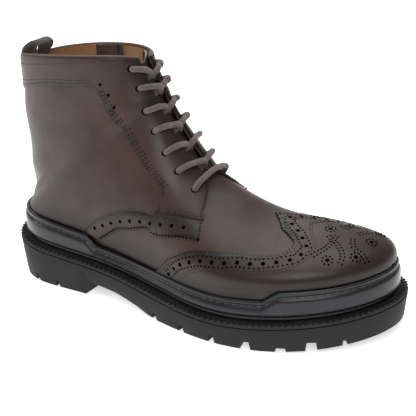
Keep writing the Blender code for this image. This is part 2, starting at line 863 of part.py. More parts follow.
def make_rand(parts, material):
    # Rubber wall round the upper: undercut foot, full belly, sewn channel, rolled bead.
    rings = []
    for row, sign in round_the_foot():
        spot, out = wall_place(row, sign)
        height = rand_height(row)
        thick = RAND_THICKNESS
        floor = ledge_height(spot[0]) + 2 * CLEARANCE
        ring = []
        for push, up in (
            (0.0, 0.0),
            (0.75 * thick, 0.0),
            (0.70 * thick, 0.10 * RAND_HIGH),
            (1.40 * thick, 0.17 * RAND_HIGH),
            (1.55 * thick, height - 0.36 * RAND_HIGH),
            (1.25 * thick, height - 0.24 * RAND_HIGH),
            (0.80 * thick, height - 0.20 * RAND_HIGH),
            (0.95 * thick, height - 0.08 * RAND_HIGH),
            (0.55 * thick, height),
            (0.0, height),
        ):
            place = spot + out * (CLEARANCE + push)
            ring.append((place[0], place[1], floor + up))
        rings.append(ring)
    return closed_band("rand", rings, material, parts)


def make_welt(parts, material):
    # Flat strip on the sole's edge, cut into small teeth along its outer side.
    inner = []
    for row, sign in round_the_foot():
        spot, out = wall_place(row, sign)
        inner.append(spot + out * CLEARANCE)
    line = np.vstack([SIDES[0], SIDES[1][::-1][1:-1]])
    inset = np.vstack([inset_side(0, WELT_TOOTH), inset_side(1, WELT_TOOTH)[::-1][1:-1]])
    length = np.concatenate([[0.0], np.cumsum(np.linalg.norm(np.diff(line, axis=0), axis=1))])
    total = length[-1] + np.linalg.norm(line[0] - line[-1])
    outer = []
    for i in range(2 * WELT_TEETH):
        at = total * i / (2 * WELT_TEETH)
        source = line if i % 2 == 0 else inset
        outer.append(np.array([np.interp(at, length, source[:, k]) for k in (0, 1)]))
    outer = np.array(outer)
    links = []
    for point in inner:
        links.append(int(np.argmin(np.linalg.norm(outer - point, axis=1))))
    links[0] = 0
    count = len(outer)
    vertices = []
    for drop in (0.0, WELT_THICKNESS - CLEARANCE):
        for x, y in list(inner) + list(outer):
            vertices.append((x, y, ledge_height(x) - drop))
    size = len(inner) + count
    faces = []
    for i in range(len(inner)):
        j = (i + 1) % len(inner)
        first, last = links[i], links[j] if j else count
        rim = [len(inner) + k % count for k in range(first, last + 1)]
        faces.append((i, *rim, j))
        faces.append(tuple(size + k for k in (i, *rim, j))[::-1])
        faces.append((i, j, j + size, i + size))
    for k in range(count):
        a = len(inner) + k
        b = len(inner) + (k + 1) % count
        faces.append((a, a + size, b + size, b))
    thing = add_object("welt", vertices, faces, material, parts)
    tidy(thing, 1e-6)
    return thing


def make_insole(parts, material):
    # Board that fills the foot of the upper.
    rows = list(range(HEEL_ROW + 1))
    edge = []
    for row in rows:
        for sign in (-1, 1):
            spot, out = wall_place(row, sign)
            edge.append(spot - out * (UPPER_WALL + 2 * CLEARANCE))
    vertices = []
    for lift in (2 * CLEARANCE, 2 * CLEARANCE + INSOLE_THICKNESS):
        for x, y in edge:
            vertices.append((x, y, seat_height(x) + lift))
    size = len(edge)
    faces = []
    for i in range(len(rows) - 1):
        a = 2 * i
        faces.append((a, a + 1, a + 3, a + 2))
        faces.append((size + a, size + a + 2, size + a + 3, size + a + 1))
        faces.append((a, a + 2, size + a + 2, size + a))
        faces.append((a + 1, size + a + 1, size + a + 3, a + 3))
    faces.append((0, size, size + 1, 1))
    faces.append((size - 2, size - 1, 2 * size - 1, 2 * size - 2))
    thing = add_object("insole", vertices, faces, material, parts)
    tidy(thing)
    smooth(thing)
    return thing


def wing_outline():
    # The cap's back edge on both sides, closed along the top of the rand.
    outer = [(row, -around) for row, around in WING_EDGE]
    rim = []
    last = WING_EDGE[-1][0]
    stops = [r for r, _ in RAND_TOP if r < last - 0.3]
    for row in [last + 0.2] + stops[::-1]:
        rim.append((row, -rim_around(row)))
    front = [(-0.5, rim[-1][1]), (-0.5, -rim[-1][1])]
    mirrored = [(row, -around) for row, around in rim[::-1]]
    back = [(row, -around) for row, around in outer[:0:-1]]
    return outer + rim + front + mirrored + back


def rim_around(row):
    # Place round the section, on the wall, just above the rand.
    room = WALL_HEIGHT - rand_height(row) - 4 * CLEARANCE
    return 1.0 + room / (WALL_HEIGHT + WELT_THICKNESS)


def tube(name, points, radius, sides, material, collection, bend=1):
    # A round cord along a smooth line through the points.
    curve = bpy.data.curves.new(name, "CURVE")
    curve.dimensions = "3D"
    curve.bevel_depth = radius
    curve.bevel_resolution = bend
    curve.use_fill_caps = True
    spline = curve.splines.new("POLY")
    spline.points.add(len(points) - 1)
    for knot, (x, y, z) in zip(spline.points, points):
        knot.co = (x - HEEL_REST, y, z, 1.0)
    guide = bpy.data.objects.new(name + "_guide", curve)
    collection.objects.link(guide)
    graph = bpy.context.evaluated_depsgraph_get()
    mesh = bpy.data.meshes.new_from_object(guide.evaluated_get(graph))
    bpy.data.objects.remove(guide, do_unlink=True)
    thing = bpy.data.objects.new(name, mesh)
    mesh.materials.clear()
    if material:
        mesh.materials.append(material)
    collection.objects.link(thing)
    tidy(thing)
    return thing


def make_laces(parts, cutters, material):
    # Crossings from each hole to the next one up on the other side, joined where they meet.
    lift = 2 * CLEARANCE + OVERLAY_THICKNESS + LACE_RISE + 0.5 * LACE_DIAMETER
    strands = []
    for i in range(len(EYELETS) - 1):
        for sign in (-1, 1):
            start_row, start_around = EYELETS[i]
            end_row, end_around = EYELETS[i + 1]
            path = []
            for share in LACE_STOPS:
                row = start_row + (end_row - start_row) * share
                reach = start_around + (end_around - start_around) * share
                around = sign * reach * (2 * share - 1)
                hump = sign * HUMP_SHARE * math.sin(math.pi * share) + LACE_STAGGER * (i % 2)
                path.append(on_last(row, around, lift + hump * LACE_DIAMETER))
            strands.append(tube("lace_strand", path, 0.5 * LACE_DIAMETER, 6, material, parts))
    laces = strands[0]
    laces.name = "laces"
    for strand in strands[1:]:
        cut(laces, strand, "UNION")
        bake(laces)
        remove_cutter(strand)
    tidy(laces, 1e-6)
    smooth(laces, 50.0)
    return laces


def make_pull_loop(parts, material):
    # A leather strip bent over the back of the collar, both ends against the wall.
    top = POINTS[LAST_ROW, WALL_COLUMNS]
    path = [np.array([top[0] + a * LOOP_HEIGHT, top[2] + b * LOOP_HEIGHT]) for a, b in LOOP_PATH]
    path = np.array(path)
    knots = np.arange(len(path), dtype=float)
    fine = through(knots, path, np.linspace(0, len(path) - 1, 2 * len(path) - 1))
    run = np.gradient(fine, axis=0)
    run /= np.linalg.norm(run, axis=1)[:, None]
    side = np.stack([-run[:, 1], run[:, 0]], axis=1) * 0.5 * LOOP_THICKNESS
    vertices = []
    for point, half in zip(fine, side):
        for y in (-0.5 * LOOP_WIDTH, 0.5 * LOOP_WIDTH):
            vertices.append((point[0] + half[0], y, point[1] + half[1]))
            vertices.append((point[0] - half[0], y, point[1] - half[1]))
    faces = [(0, 1, 3, 2)]
    for i in range(len(fine) - 1):
        for a, b in ((0, 1), (1, 3), (3, 2), (2, 0)):
            faces.append((4 * i + a, 4 * i + b, 4 * i + 4 + b, 4 * i + 4 + a))
    last = 4 * (len(fine) - 1)
    faces.append((last, last + 2, last + 3, last + 1))
    thing = add_object("pull_loop", vertices, faces, material, parts)
    tidy(thing)
    smooth(thing, 50.0)
    return thing


def zip_line(height):
    # Place of the zip along the boot at a height above the floor.
    share = (height - ZIP_FOOT_HEIGHT) / (COLLAR_HEIGHT - ZIP_FOOT_HEIGHT)
    return ZIP_FOOT + (ZIP_PLACE - ZIP_FOOT) * share


def slider_height():
    return COLLAR_HEIGHT - ZIP_OPEN_LENGTH


def zip_outline(half, half_top, foot, top):
    # Straight strip up to the slider, then two edges that open to the collar.
    low, mid = foot, slider_height()
    right = [
        (zip_line(low) + half, low),
        (zip_line(mid) + half, mid),
        (zip_line(top) + half_top, top),
    ]
    left = [(zip_line(z) - (x - zip_line(z)), z) for x, z in right[::-1]]
    return right + left


def split_at_zip(thing, name, parts):
    # The zip's slot parts the band in two; the piece at the back gets its own object.
    rear = bpy.data.objects.new(name, thing.data.copy())
    parts.objects.link(rear)
    for piece, sign in ((thing, 1), (rear, -1)):
        work = bmesh.new()
        work.from_mesh(piece.data)
        lost = [v for v in work.verts if sign * (v.co.x + HEEL_REST - zip_line(v.co.z)) < 0]
        bmesh.ops.delete(work, geom=lost, context="VERTS")
        work.to_mesh(piece.data)
        work.free()


def make_zip(parts, cutters, tape_cloth, metal, lining, upper, facing):
    # Slot through the wall and the facing, tape and flap behind it, chain within it.
    high = COLLAR_HEIGHT + 3 * COLLAR_RISE_OUTER
    slot = prism(
        "slot", zip_outline(0.5 * ZIP_SLOT, 0.5 * ZIP_OPEN_WIDTH, ZIP_FOOT_HEIGHT, high),
        ZIP_DEEP, ZIP_FAR, None, cutters)
    for thing in (upper, facing):
        cut(thing, slot, "DIFFERENCE")
        bake(thing)
        tidy(thing)
        smooth(thing)
    remove_cutter(slot)
    split_at_zip(facing, "collar_band_inner", parts)
    wall = UPPER_WALL + 3 * CLEARANCE
    region = ((13.5, 0.15), (27.6, 0.15), (27.6, 0.97), (13.5, 0.97))
    half_tape = 0.5 * ZIP_TAPE_WIDTH
    behind = wall + ZIP_TAPE_THICKNESS + CLEARANCE
    half_flap = FLAP_WIDTH_SHARE * half_tape
    strips = (
        ("zip_tape", wall, ZIP_TAPE_THICKNESS, half_tape, tape_cloth, ZIP_BELOW),
        ("zip_flap", behind, FLAP_THICKNESS, half_flap, lining, FLAP_BELOW),
    )
    for name, shallow, thick, half, material, below in strips:
        deep = shallow + thick
        strip = flat_pattern(name, region, -deep, -shallow, parts, cutters, material)
        shape = prism(
            name + "_shape", zip_outline(half, half, ZIP_FOOT_HEIGHT - below, high),
            ZIP_DEEP, ZIP_FAR, None, cutters)
        cut(strip, shape, "INTERSECT")
        bake(strip)
        remove_cutter(shape)
        tidy(strip)
        smooth(strip)
    inner = -(wall - CLEARANCE)
    chain = flat_pattern(
        "zip_teeth", region, inner, inner + ZIP_CHAIN_THICKNESS, parts, cutters, metal)
    half = 0.5 * ZIP_CHAIN_WIDTH
    shape = prism(
        "chain_shape", chain_outline(half), ZIP_DEEP, ZIP_FAR, None, cutters)
    cut(chain, shape, "INTERSECT")
    bake(chain)
    remove_cutter(shape)
    tidy(chain)


def chain_outline(half):
    # The closed teeth, from the zip's foot up to the slider.
    low = ZIP_FOOT_HEIGHT + half
    high = slider_height() - 0.5 * SLIDER_LENGTH - CLEARANCE
    return [
        (zip_line(low) - half, low), (zip_line(low) + half, low),
        (zip_line(high) + half, high), (zip_line(high) - half, high)]


def inner_side(x, z):
    # Sideways place of the upper's outer face on the inner side, seen straight from the side.
    columns = [c for c in range(len(SIGNED) - 1) if EDGE_COLUMN <= SIGNED[c] < 1.0]
    for row in range(THROAT_ROW, LAST_ROW):
        for c in columns:
            first = ((row, c), (row + 1, c), (row + 1, c + 1))
            second = ((row, c), (row, c + 1), (row + 1, c + 1))
            for corners in (first, second):
                p, q, r = (POINTS[k] for k in corners)
                grid = np.array([[q[0] - p[0], r[0] - p[0]], [q[2] - p[2], r[2] - p[2]]])
                if abs(np.linalg.det(grid)) < 1e-12:
                    continue
                u, v = np.linalg.solve(grid, [x - p[0], z - p[2]])
                if u >= -1e-6 and v >= -1e-6 and u + v <= 1 + 1e-6:
                    return float(p[1] + u * (q[1] - p[1]) + v * (r[1] - p[1]))
    return None


def block(name, low, high, material, collection):
    # A box between two corners.
    mesh = bpy.data.meshes.new(name)
    work = bmesh.new()
    bmesh.ops.create_cube(work, size=1.0)
    low, high = np.array(low), np.array(high)
    for vertex in work.verts:
        vertex.co = (low + high) / 2 + np.array(vertex.co) * (high - low)
        vertex.co.x -= HEEL_REST
    work.to_mesh(mesh)
    work.free()
    thing = bpy.data.objects.new(name, mesh)
    if material:
        mesh.materials.append(material)
    collection.objects.link(thing)
    return thing


def rod(name, centre, radius, length, sides, material, collection):
    # A round bar along X.
    mesh = bpy.data.meshes.new(name)
    work = bmesh.new()
    bmesh.ops.create_cone(
        work, cap_ends=True, segments=sides, radius1=radius, radius2=radius, depth=length)
    for vertex in work.verts:
        x, y, z = vertex.co
        vertex.co = (centre[0] + z - HEEL_REST, centre[1] + y, centre[2] - x)
    work.to_mesh(mesh)
    work.free()
    thing = bpy.data.objects.new(name, mesh)
    if material:
        mesh.materials.append(material)
    collection.objects.link(thing)
    return thing


def combine(thing, others, operation):
    for other in others:
        cut(thing, other, operation)
        bake(thing)
        remove_cutter(other)


def make_slider_and_pull(parts, cutters, metal):
    # The slider fills the slot; its pull hangs from a pin between two ears.
    height = slider_height()
    x = zip_line(height)
    half = 0.5 * ZIP_SLOT - SIDE_PLAY
    rise = 0.5 * SLIDER_LENGTH
    near = [inner_side(x + a * half, height + b * rise) for a in (-1, 1) for b in (-1, 1)]
    back = max(near) - (UPPER_WALL + 3 * CLEARANCE) + SIDE_PLAY
    face = max(near) + SLIDER_STAND
    pin_y = face + EYE_RADIUS + SIDE_PLAY
    pin_z = height + PIN_LIFT_SHARE * SLIDER_LENGTH
    slider = block(
        "zip_slider", (x - half, back, height - rise), (x + half, face, height + rise), metal, parts)
    extras = []
    for sign in (-1, 1):
        inside, outside = x + sign * (half - EAR_WIDTH), x + sign * half
        low = (min(inside, outside), face - EAR_WIDTH, pin_z - EAR_REACH)
        high = (max(inside, outside), pin_y + 0.8 * EAR_REACH, pin_z + EAR_REACH)
        extras.append(block("ear", low, high, None, cutters))
    pin_length = 2 * half - EAR_WIDTH
    extras.append(rod("pin", (x, pin_y, pin_z), PIN_RADIUS, pin_length, 16, None, cutters))
    combine(slider, extras, "UNION")
    tidy(slider, 1e-6)
    pull = rod("zip_pull", (x, pin_y, pin_z), EYE_RADIUS, EYE_WIDTH, 20, metal, parts)
    neck_end = pin_z - NECK_DROP_SHARE * EAR_REACH - SIDE_PLAY
    neck = block(
        "neck", (x - 0.5 * EYE_WIDTH, pin_y - 0.5 * PULL_THICKNESS, neck_end - PULL_THICKNESS),
        (x + 0.5 * EYE_WIDTH, pin_y + 0.5 * PULL_THICKNESS, pin_z), None, cutters)
    tab = block(
        "tab", (x - 0.5 * PULL_WIDTH, pin_y - 0.45 * PULL_THICKNESS, pin_z - PULL_LENGTH),
        (x + 0.5 * PULL_WIDTH, pin_y + 0.55 * PULL_THICKNESS, neck_end), None, cutters)
    combine(pull, [neck, tab], "UNION")
    hole = rod("eye_hole", (x, pin_y, pin_z), EYE_HOLE, 2 * EYE_WIDTH, 20, None, cutters)
    combine(pull, [hole], "DIFFERENCE")
    tidy(pull, 1e-6)
    pivot = bpy.data.objects.new("zip_pull_pivot", None)
    pivot.location = (x - HEEL_REST, pin_y, pin_z)
    parts.objects.link(pivot)
    pull.parent = pivot
    pull.data.transform(Matrix.Translation((HEEL_REST - x, -pin_y, -pin_z)))


def main():
    parts, cutters = start_scene()
    leather = make_material("leather", LEATHER, 0.45)
    dark = make_material("leather_dark", LEATHER_DARK, 0.42)
    lining = make_material("lining", LINING, 0.8)
    rubber = make_material("rubber", RUBBER, 0.75)
    rand_rubber = make_material("rand_rubber", RAND_RUBBER, 0.3)
    welt_rubber = make_material("welt_rubber", WELT_RUBBER, 0.7)
    lace_cloth = make_material("lace_cloth", LACE_CLOTH, 0.9)
    metal = make_material("zip_metal", ZIP_METAL, 0.35, 1.0)
    tape_cloth = make_material("zip_cloth", ZIP_CLOTH, 0.9)
    make_outsole(parts, cutters, rubber)
    make_welt(parts, welt_rubber)
    make_rand(parts, rand_rubber)
    make_insole(parts, lining)
    upper = make_upper(parts, leather)
    back = -(UPPER_WALL + 2 * CLEARANCE)
    flat_pattern("tongue", TONGUE, back - TONGUE_THICKNESS, back, parts, cutters, dark)
    low, high = CLEARANCE, CLEARANCE + OVERLAY_THICKNESS
    flat_pattern("toe_cap", wing_outline(), low, high, parts, cutters, dark)
    facings = {}
    for side, sign in (("outer", -1), ("inner", 1)):
        for name, shape in (("facing", FACING), ("side_band", SIDE_BAND)):
            outline = [(row, sign * around) for row, around in shape]
            piece = flat_pattern(name + "_" + side, outline, low, high, parts, cutters, leather)
            facings[name + "_" + side] = piece
    make_zip(parts, cutters, tape_cloth, metal, lining, upper, facings["facing_inner"])
    make_slider_and_pull(parts, cutters, metal)
    make_laces(parts, cutters, lace_cloth)
    make_pull_loop(parts, leather)


main()
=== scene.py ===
# Brogue boot, right foot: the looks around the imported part, in its own frame.
# +X runs to the toe, +Y to the inner side of the foot, +Z up, floor at zero.
import math

import bmesh
import bpy
import numpy as np
from mathutils import Matrix, Vector, geometry


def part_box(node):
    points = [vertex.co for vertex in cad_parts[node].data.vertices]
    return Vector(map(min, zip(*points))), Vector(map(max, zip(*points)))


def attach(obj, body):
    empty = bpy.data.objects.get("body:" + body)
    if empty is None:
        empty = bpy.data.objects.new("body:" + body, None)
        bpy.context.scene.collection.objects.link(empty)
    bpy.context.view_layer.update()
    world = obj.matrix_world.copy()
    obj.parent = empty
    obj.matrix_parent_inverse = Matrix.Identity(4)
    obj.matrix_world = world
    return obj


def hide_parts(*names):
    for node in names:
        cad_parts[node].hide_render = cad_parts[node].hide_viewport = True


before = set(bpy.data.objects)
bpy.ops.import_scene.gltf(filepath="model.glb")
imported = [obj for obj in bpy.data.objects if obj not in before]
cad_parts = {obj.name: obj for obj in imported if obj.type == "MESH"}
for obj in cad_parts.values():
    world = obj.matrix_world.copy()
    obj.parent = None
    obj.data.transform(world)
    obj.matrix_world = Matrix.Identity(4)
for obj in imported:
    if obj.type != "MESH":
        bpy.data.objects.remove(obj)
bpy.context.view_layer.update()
print("frame loaded")

# Driving sizes of the boot, in metres.
sole = dict(length=0.305, ball=0.1137, ledge=0.0324, heelRest=0.040)
shell = dict(
    instep=0.096, collar=0.169, riseOuter=0.010, riseInner=0.003, gap=0.013,
    wall=0.0018, wallHeight=0.0215, welt=0.003, clearance=0.0003,
    randSetback=0.0065, randThick=0.0026, randHigh=0.0205, backShare=0.953)
overlay = dict(
    low=0.0002, thick=0.0012, edgeDrop=0.35, cell=0.24, acrossScale=8.0,
    rowStep=0.25, aroundStep=0.03, rimRoom=0.35, sharp=50.0)
fan = dict(slack=1.02, gapLimit=0.2, riseRows=3, risePower=0.6)
heelEase = dict(passes=4, reach=3.0, pull=0.6, first=0.25, width=0.35)

# Section numbers of the fan: each section runs from the ridge to the sole's edge or back seam.
throatRow, heelRow, lastRow = 12, 22, 27
edgeColumn, sideColumns, fineness = 0.10, 7, 8

# Tables of shares: the sole, the fan's sections, and the outlines of the overlays on them.
soleOutline = (
    # along, outer side, inner side
    (0.010, 0.141, 0.149),
    (0.030, 0.234, 0.240),
    (0.060, 0.309, 0.313),
    (0.100, 0.361, 0.361),
    (0.150, 0.383, 0.373),
    (0.200, 0.384, 0.366),
    (0.270, 0.383, 0.352),
    (0.350, 0.392, 0.346),
    (0.420, 0.418, 0.356),
    (0.500, 0.462, 0.394),
    (0.580, 0.503, 0.443),
    (0.660, 0.520, 0.485),
    (0.720, 0.505, 0.500),
    (0.780, 0.464, 0.502),
    (0.840, 0.397, 0.493),
    (0.900, 0.297, 0.462),
    (0.940, 0.202, 0.415),
    (0.970, 0.103, 0.351),
    (0.990, 0.002, 0.265),
)

ledgeLine = (
    # along, height
    (0.00, 1.000), (0.15, 0.900), (0.30, 0.793), (0.46, 0.660), (0.62, 0.559), (0.80, 0.627),
    (0.90, 0.713), (1.00, 0.833)
)

footSections = (
    # edge: share of the sole edge from toe tip to heel; along: ridge, share of the sole length
    # height: share of the instep height; centre, outer, inner: shares of the ball width
    # round: power of the side curve; crown: power of the drop from the ridge
    # edge, along, height, centre, outer, inner, round, crown
    (0.000, 0.9690, 0.500, 0.134, 0.000, 0.000, 0.80, 1.00),
    (0.020, 0.9665, 0.532, 0.133, 0.000, 0.000, 0.80, 1.00),
    (0.045, 0.9600, 0.566, 0.130, 0.000, 0.000, 0.80, 0.98),
    (0.075, 0.9460, 0.598, 0.124, 0.000, 0.000, 0.80, 0.96),
    (0.110, 0.9230, 0.626, 0.116, 0.000, 0.000, 0.82, 0.92),
    (0.150, 0.8900, 0.649, 0.106, 0.000, 0.000, 0.84, 0.88),
    (0.200, 0.8420, 0.672, 0.094, 0.000, 0.000, 0.86, 0.85),
    (0.250, 0.7900, 0.691, 0.082, 0.000, 0.000, 0.88, 0.82),
    (0.300, 0.7380, 0.715, 0.070, 0.000, 0.000, 0.90, 0.80),
    (0.350, 0.6870, 0.752, 0.056, 0.000, 0.000, 0.90, 0.80),
    (0.400, 0.6360, 0.818, 0.042, 0.000, 0.000, 0.90, 0.82),
    (0.450, 0.5880, 0.900, 0.028, 0.000, 0.000, 0.90, 0.86),
    (0.500, 0.5480, 0.990, 0.016, 0.000, 0.000, 0.92, 0.90),
    (0.550, 0.5210, 1.080, 0.008, 0.352, 0.300, 0.92, 0.94),
    (0.610, 0.4980, 1.175, 0.000, 0.336, 0.299, 0.90, 0.98),
    (0.670, 0.4800, 1.255, 0.000, 0.323, 0.297, 0.88, 1.00),
    (0.730, 0.4660, 1.325, 0.000, 0.313, 0.295, 0.86, 1.00),
    (0.790, 0.4545, 1.385, 0.000, 0.306, 0.292, 0.83, 1.00),
    (0.835, 0.4450, 1.435, 0.000, 0.301, 0.289, 0.80, 1.00),
    (0.873, 0.4375, 1.480, 0.000, 0.296, 0.286, 0.77, 1.00),
    (0.910, 0.4315, 1.518, 0.000, 0.291, 0.283, 0.75, 1.00),
    (0.950, 0.4265, 1.553, 0.000, 0.286, 0.279, 0.74, 1.00),
    (1.000, 0.4220, 1.585, 0.000, 0.281, 0.275, 0.74, 1.00),
)

shaftSections = (
    # up: share of the way from the heel row to the collar; backAlong: share of the sole length
    # backUp: share of the way up the back seam; outer, inner: shares of the ball width
    # up, backAlong, backUp, outer, inner, round
    (0.22, 0.0275, 0.200, 0.275, 0.270, 0.76),
    (0.42, 0.0345, 0.410, 0.272, 0.268, 0.80),
    (0.62, 0.0430, 0.620, 0.275, 0.271, 0.84),
    (0.81, 0.0520, 0.820, 0.285, 0.281, 0.88),
    (1.00, 0.0560, 1.000, 0.298, 0.295, 0.90),
)

randTop = (
    # row, height
    (0.0, 1.00), (2.0, 1.00), (3.0, 0.98), (5.0, 0.98), (6.0, 0.99), (6.83, 0.99), (7.42, 0.69),
    (8.0, 0.70), (10.0, 0.70), (11.0, 0.69), (12.0, 0.66), (13.0, 0.63), (14.0, 0.61), (15.0, 0.60),
    (15.50, 0.60), (15.95, 0.91), (17.0, 0.96), (18.0, 1.00), (19.0, 1.01), (22.0, 1.01)
)

facingShape = (
    # row, around
    (27.6, 0.100), (27.6, 0.985), (25.8, 0.985), (25.7, 0.725), (25.6, 0.590), (25.3, 0.490),
    (24.9, 0.390), (24.3, 0.355), (22.0, 0.330), (20.0, 0.372), (18.2, 0.408), (15.8, 0.438),
    (14.3, 0.463), (13.5, 0.475), (13.2, 0.600), (13.3, 0.655), (11.8, 0.505), (10.8, 0.405),
    (11.0, 0.350), (11.1, 0.288), (11.4, 0.188), (11.8, 0.112), (12.0, 0.100)
)

sideBandShape = (
    # row, around
    (15.9, 1.030), (15.9, 0.975), (15.6, 0.875), (14.9, 0.775), (14.0, 0.710), (13.3, 0.675),
    (11.7, 0.525), (10.8, 0.425), (10.6, 0.575), (11.2, 0.625), (12.2, 0.725), (13.0, 0.788),
    (13.4, 0.775), (14.2, 0.850), (14.8, 0.900), (15.3, 1.030)
)

wingEdge = (
    # row, around
    (8.60, 0.000), (7.95, 0.150), (7.58, 0.188), (7.08, 0.250), (6.92, 0.312), (7.00, 0.388),
    (7.33, 0.463), (7.92, 0.500), (8.83, 0.537), (10.3, 0.663), (11.0, 0.763), (11.5, 0.863),
    (12.0, 0.975), (12.6, 1.250)
)

tongueShape = (
    # row, around
    (10.6, -0.24), (12.0, -0.30), (16.0, -0.32), (22.0, -0.30), (26.5, -0.28), (27.6, -0.20),
    (27.6, 0.20), (26.5, 0.28), (22.0, 0.30), (16.0, 0.32), (12.0, 0.30), (10.6, 0.24)
)

eyelets = (
    # row, around
    (11.92, 0.275), (13.33, 0.288), (14.67, 0.275), (16.58, 0.250), (19.25, 0.225), (22.83, 0.175),
    (25.50, 0.180)
)

loopPath = (
    # out towards the toe, up
    (-0.255, -0.95), (-0.215, -0.14), (-0.250, 0.14), (-0.070, 0.57), (0.340, 0.88), (0.700, 0.98),
    (1.000, 0.84), (0.930, 0.60), (0.720, 0.36), (0.560, 0.10), (0.470, -0.14), (0.430, -0.72)
)

# Soft troughs and ridges: one end, other end, width, height.
creases = (
    ((23.2, -0.95), (22.2, -0.70), 0.0075, 0.0011),
    ((22.3, -0.90), (20.6, -0.62), 0.0080, -0.0010),
    ((20.0, -0.85), (18.6, -0.55), 0.0090, 0.0008),
    ((24.3, -0.80), (23.6, -0.45), 0.0100, -0.0008),
    ((11.4, -0.10), (10.4, -0.50), 0.0070, -0.0006),
    ((10.3, 0.15), (9.6, -0.40), 0.0065, 0.0005),
    ((22.6, 0.90), (21.2, 0.62), 0.0080, -0.0009),
)
toeTipSide = 0.134
collarAlong = 0.3915


def through(knots, values, at):
    # A smooth curve through the values, one for each knot.
    knots = np.asarray(knots, float)
    values = np.asarray(values, float)
    step = np.diff(knots)
    wide = step.reshape([-1] + [1] * (values.ndim - 1))
    slope = np.diff(values, axis=0) / wide
    lean = np.empty_like(values)
    lean[1:-1] = (slope[1:] * wide[:-1] + slope[:-1] * wide[1:]) / (wide[1:] + wide[:-1])
    lean[0] = slope[0]
    lean[-1] = slope[-1]
    at = np.atleast_1d(np.asarray(at, float))
    i = np.clip(np.searchsorted(knots, at, side="right") - 1, 0, len(step) - 1)
    h = wide[i]
    t = (at - knots[i]).reshape(h.shape) / h
    start = values[i] * (1 + 2 * t) * (1 - t) ** 2 + lean[i] * h * t * (1 - t) ** 2
    end = values[i + 1] * t * t * (3 - 2 * t) + lean[i + 1] * h * t * t * (t - 1)
    return start + end


def ease(value):
    value = np.clip(value, 0.0, 1.0)
    return value * value * (3 - 2 * value)


def runLength(points):
    steps = np.linalg.norm(np.diff(points, axis=0), axis=1)
    return np.concatenate([[0.0], np.cumsum(steps)])


def soleSides():
    # The outline as two fine lines, outer and inner, each from the toe tip to the heel's back.
    outer = [(a * sole["length"], -o * sole["ball"]) for a, o, _ in soleOutline]
    inner = [(a * sole["length"], i * sole["ball"]) for a, _, i in soleOutline]
    tip = [(sole["length"], toeTipSide * sole["ball"])]
    loop = np.array(tip + outer[::-1] + [(0.0, 0.0)] + inner)
    lap = 3
    ring = np.vstack([loop[-lap:], loop, loop[: lap + 1]])
    knots = runLength(ring)
    heel = lap + 1 + len(outer)
    sides = []
    for first, last in ((lap, heel), (lap + len(loop), heel)):
        sides.append(through(knots, ring, np.linspace(knots[first], knots[last], 600)))
    return sides


soleLines = soleSides()


def insetSide(side, inset):
    line = soleLines[side]
    run = np.gradient(line, axis=0)
    run /= np.linalg.norm(run, axis=1)[:, None]
    inward = np.stack([run[:, 1], -run[:, 0]], axis=1) * (1, -1)[side]
    return line + inward * inset


def edgePoint(side, share, inset):
    # The point at a share of the way from toe tip to heel, along the inset edge.
    line = insetSide(side, inset)
    length = runLength(line)
    length /= length[-1]
    return np.array([np.interp(share, length, line[:, k]) for k in (0, 1)])


def ledgeHeight(x):
    share = np.clip(np.asarray(x) / sole["length"], 0.0, 1.0)
    table = np.array(ledgeLine)
    return through(table[:, 0], table[:, 1], share) * sole["ledge"]


def sectionRows():
    # One dictionary for each section, toe to collar.
    setback = shell["randSetback"] + shell["randThick"] + shell["clearance"]
    rows = []
    for edge, along, height, centre, outer, inner, power, crown in footSections:
        ridge = np.array([along * sole["length"], centre * sole["ball"], height * shell["instep"]])
        ends = []
        for side in (0, 1):
            x, y = edgePoint(side, edge, setback)
            ends.append(np.array([x, y, ledgeHeight(x)[0] + shell["wallHeight"]]))
        if edge == 0.0:
            ridge = ends[0].copy()
        widths = (outer * sole["ball"], inner * sole["ball"])
        rows.append(dict(ridge=ridge, ends=ends, widths=widths, power=power, crown=crown))
    low = rows[-1]["ridge"]
    top = np.array([collarAlong * sole["length"], 0.0, shell["collar"]])
    backLow = rows[-1]["ends"][0][2]
    backHigh = shell["backShare"] * shell["collar"]
    for up, backAlong, backUp, outer, inner, power in shaftSections:
        ridge = low + (top - low) * up
        end = np.array([backAlong * sole["length"], 0.0, backLow + (backHigh - backLow) * backUp])
        widths = (outer * sole["ball"], inner * sole["ball"])
        rows.append(dict(ridge=ridge, ends=[end, end], widths=widths, power=power, crown=1.0))
    return rows


def sectionPoint(data, row, side, around):
    # around: 0 at the ridge, 0.1 at the lacing edge, 1 at the wall's top, 2 at its foot.
    ridge, end = data["ridge"], data["ends"][side]
    if around > 1.0:
        foot = ledgeHeight(end[0])[0] - shell["welt"]
        return np.array([end[0], end[1], end[2] + (foot - end[2]) * (around - 1.0)])
    reach = abs(end[1] - ridge[1])
    width = max(data["widths"][side], fan["slack"] * reach)
    if width == 0.0:
        return ridge.copy()
    power = data["power"]
    endAngle = math.pi - math.asin(min(1.0, (reach / width) ** (1.0 / power)))
    gapShare = 0.5 * shell["gap"] / max(width, shell["gap"])
    gapAngle = min(math.asin(gapShare ** (1.0 / power)), fan["gapLimit"] * endAngle)
    if around < edgeColumn:
        angle = gapAngle * around / edgeColumn
    else:
        angle = gapAngle + (endAngle - gapAngle) * (around - edgeColumn) / (1 - edgeColumn)
    drop = ((1 - math.cos(angle)) / (1 - math.cos(endAngle))) ** data["crown"]
    swing = max(0.0, math.sin(angle))
    point = ridge + (end - ridge) * drop
    point[1] = ridge[1] + (-1, 1)[side] * width * swing ** power
    shaft = max(0.0, (row - heelRow + fan["riseRows"]) / (lastRow - heelRow + fan["riseRows"]))
    rise = (shell["riseOuter"], shell["riseInner"])[side]
    point[2] += rise * shaft * shaft * swing ** fan["risePower"]
    return point


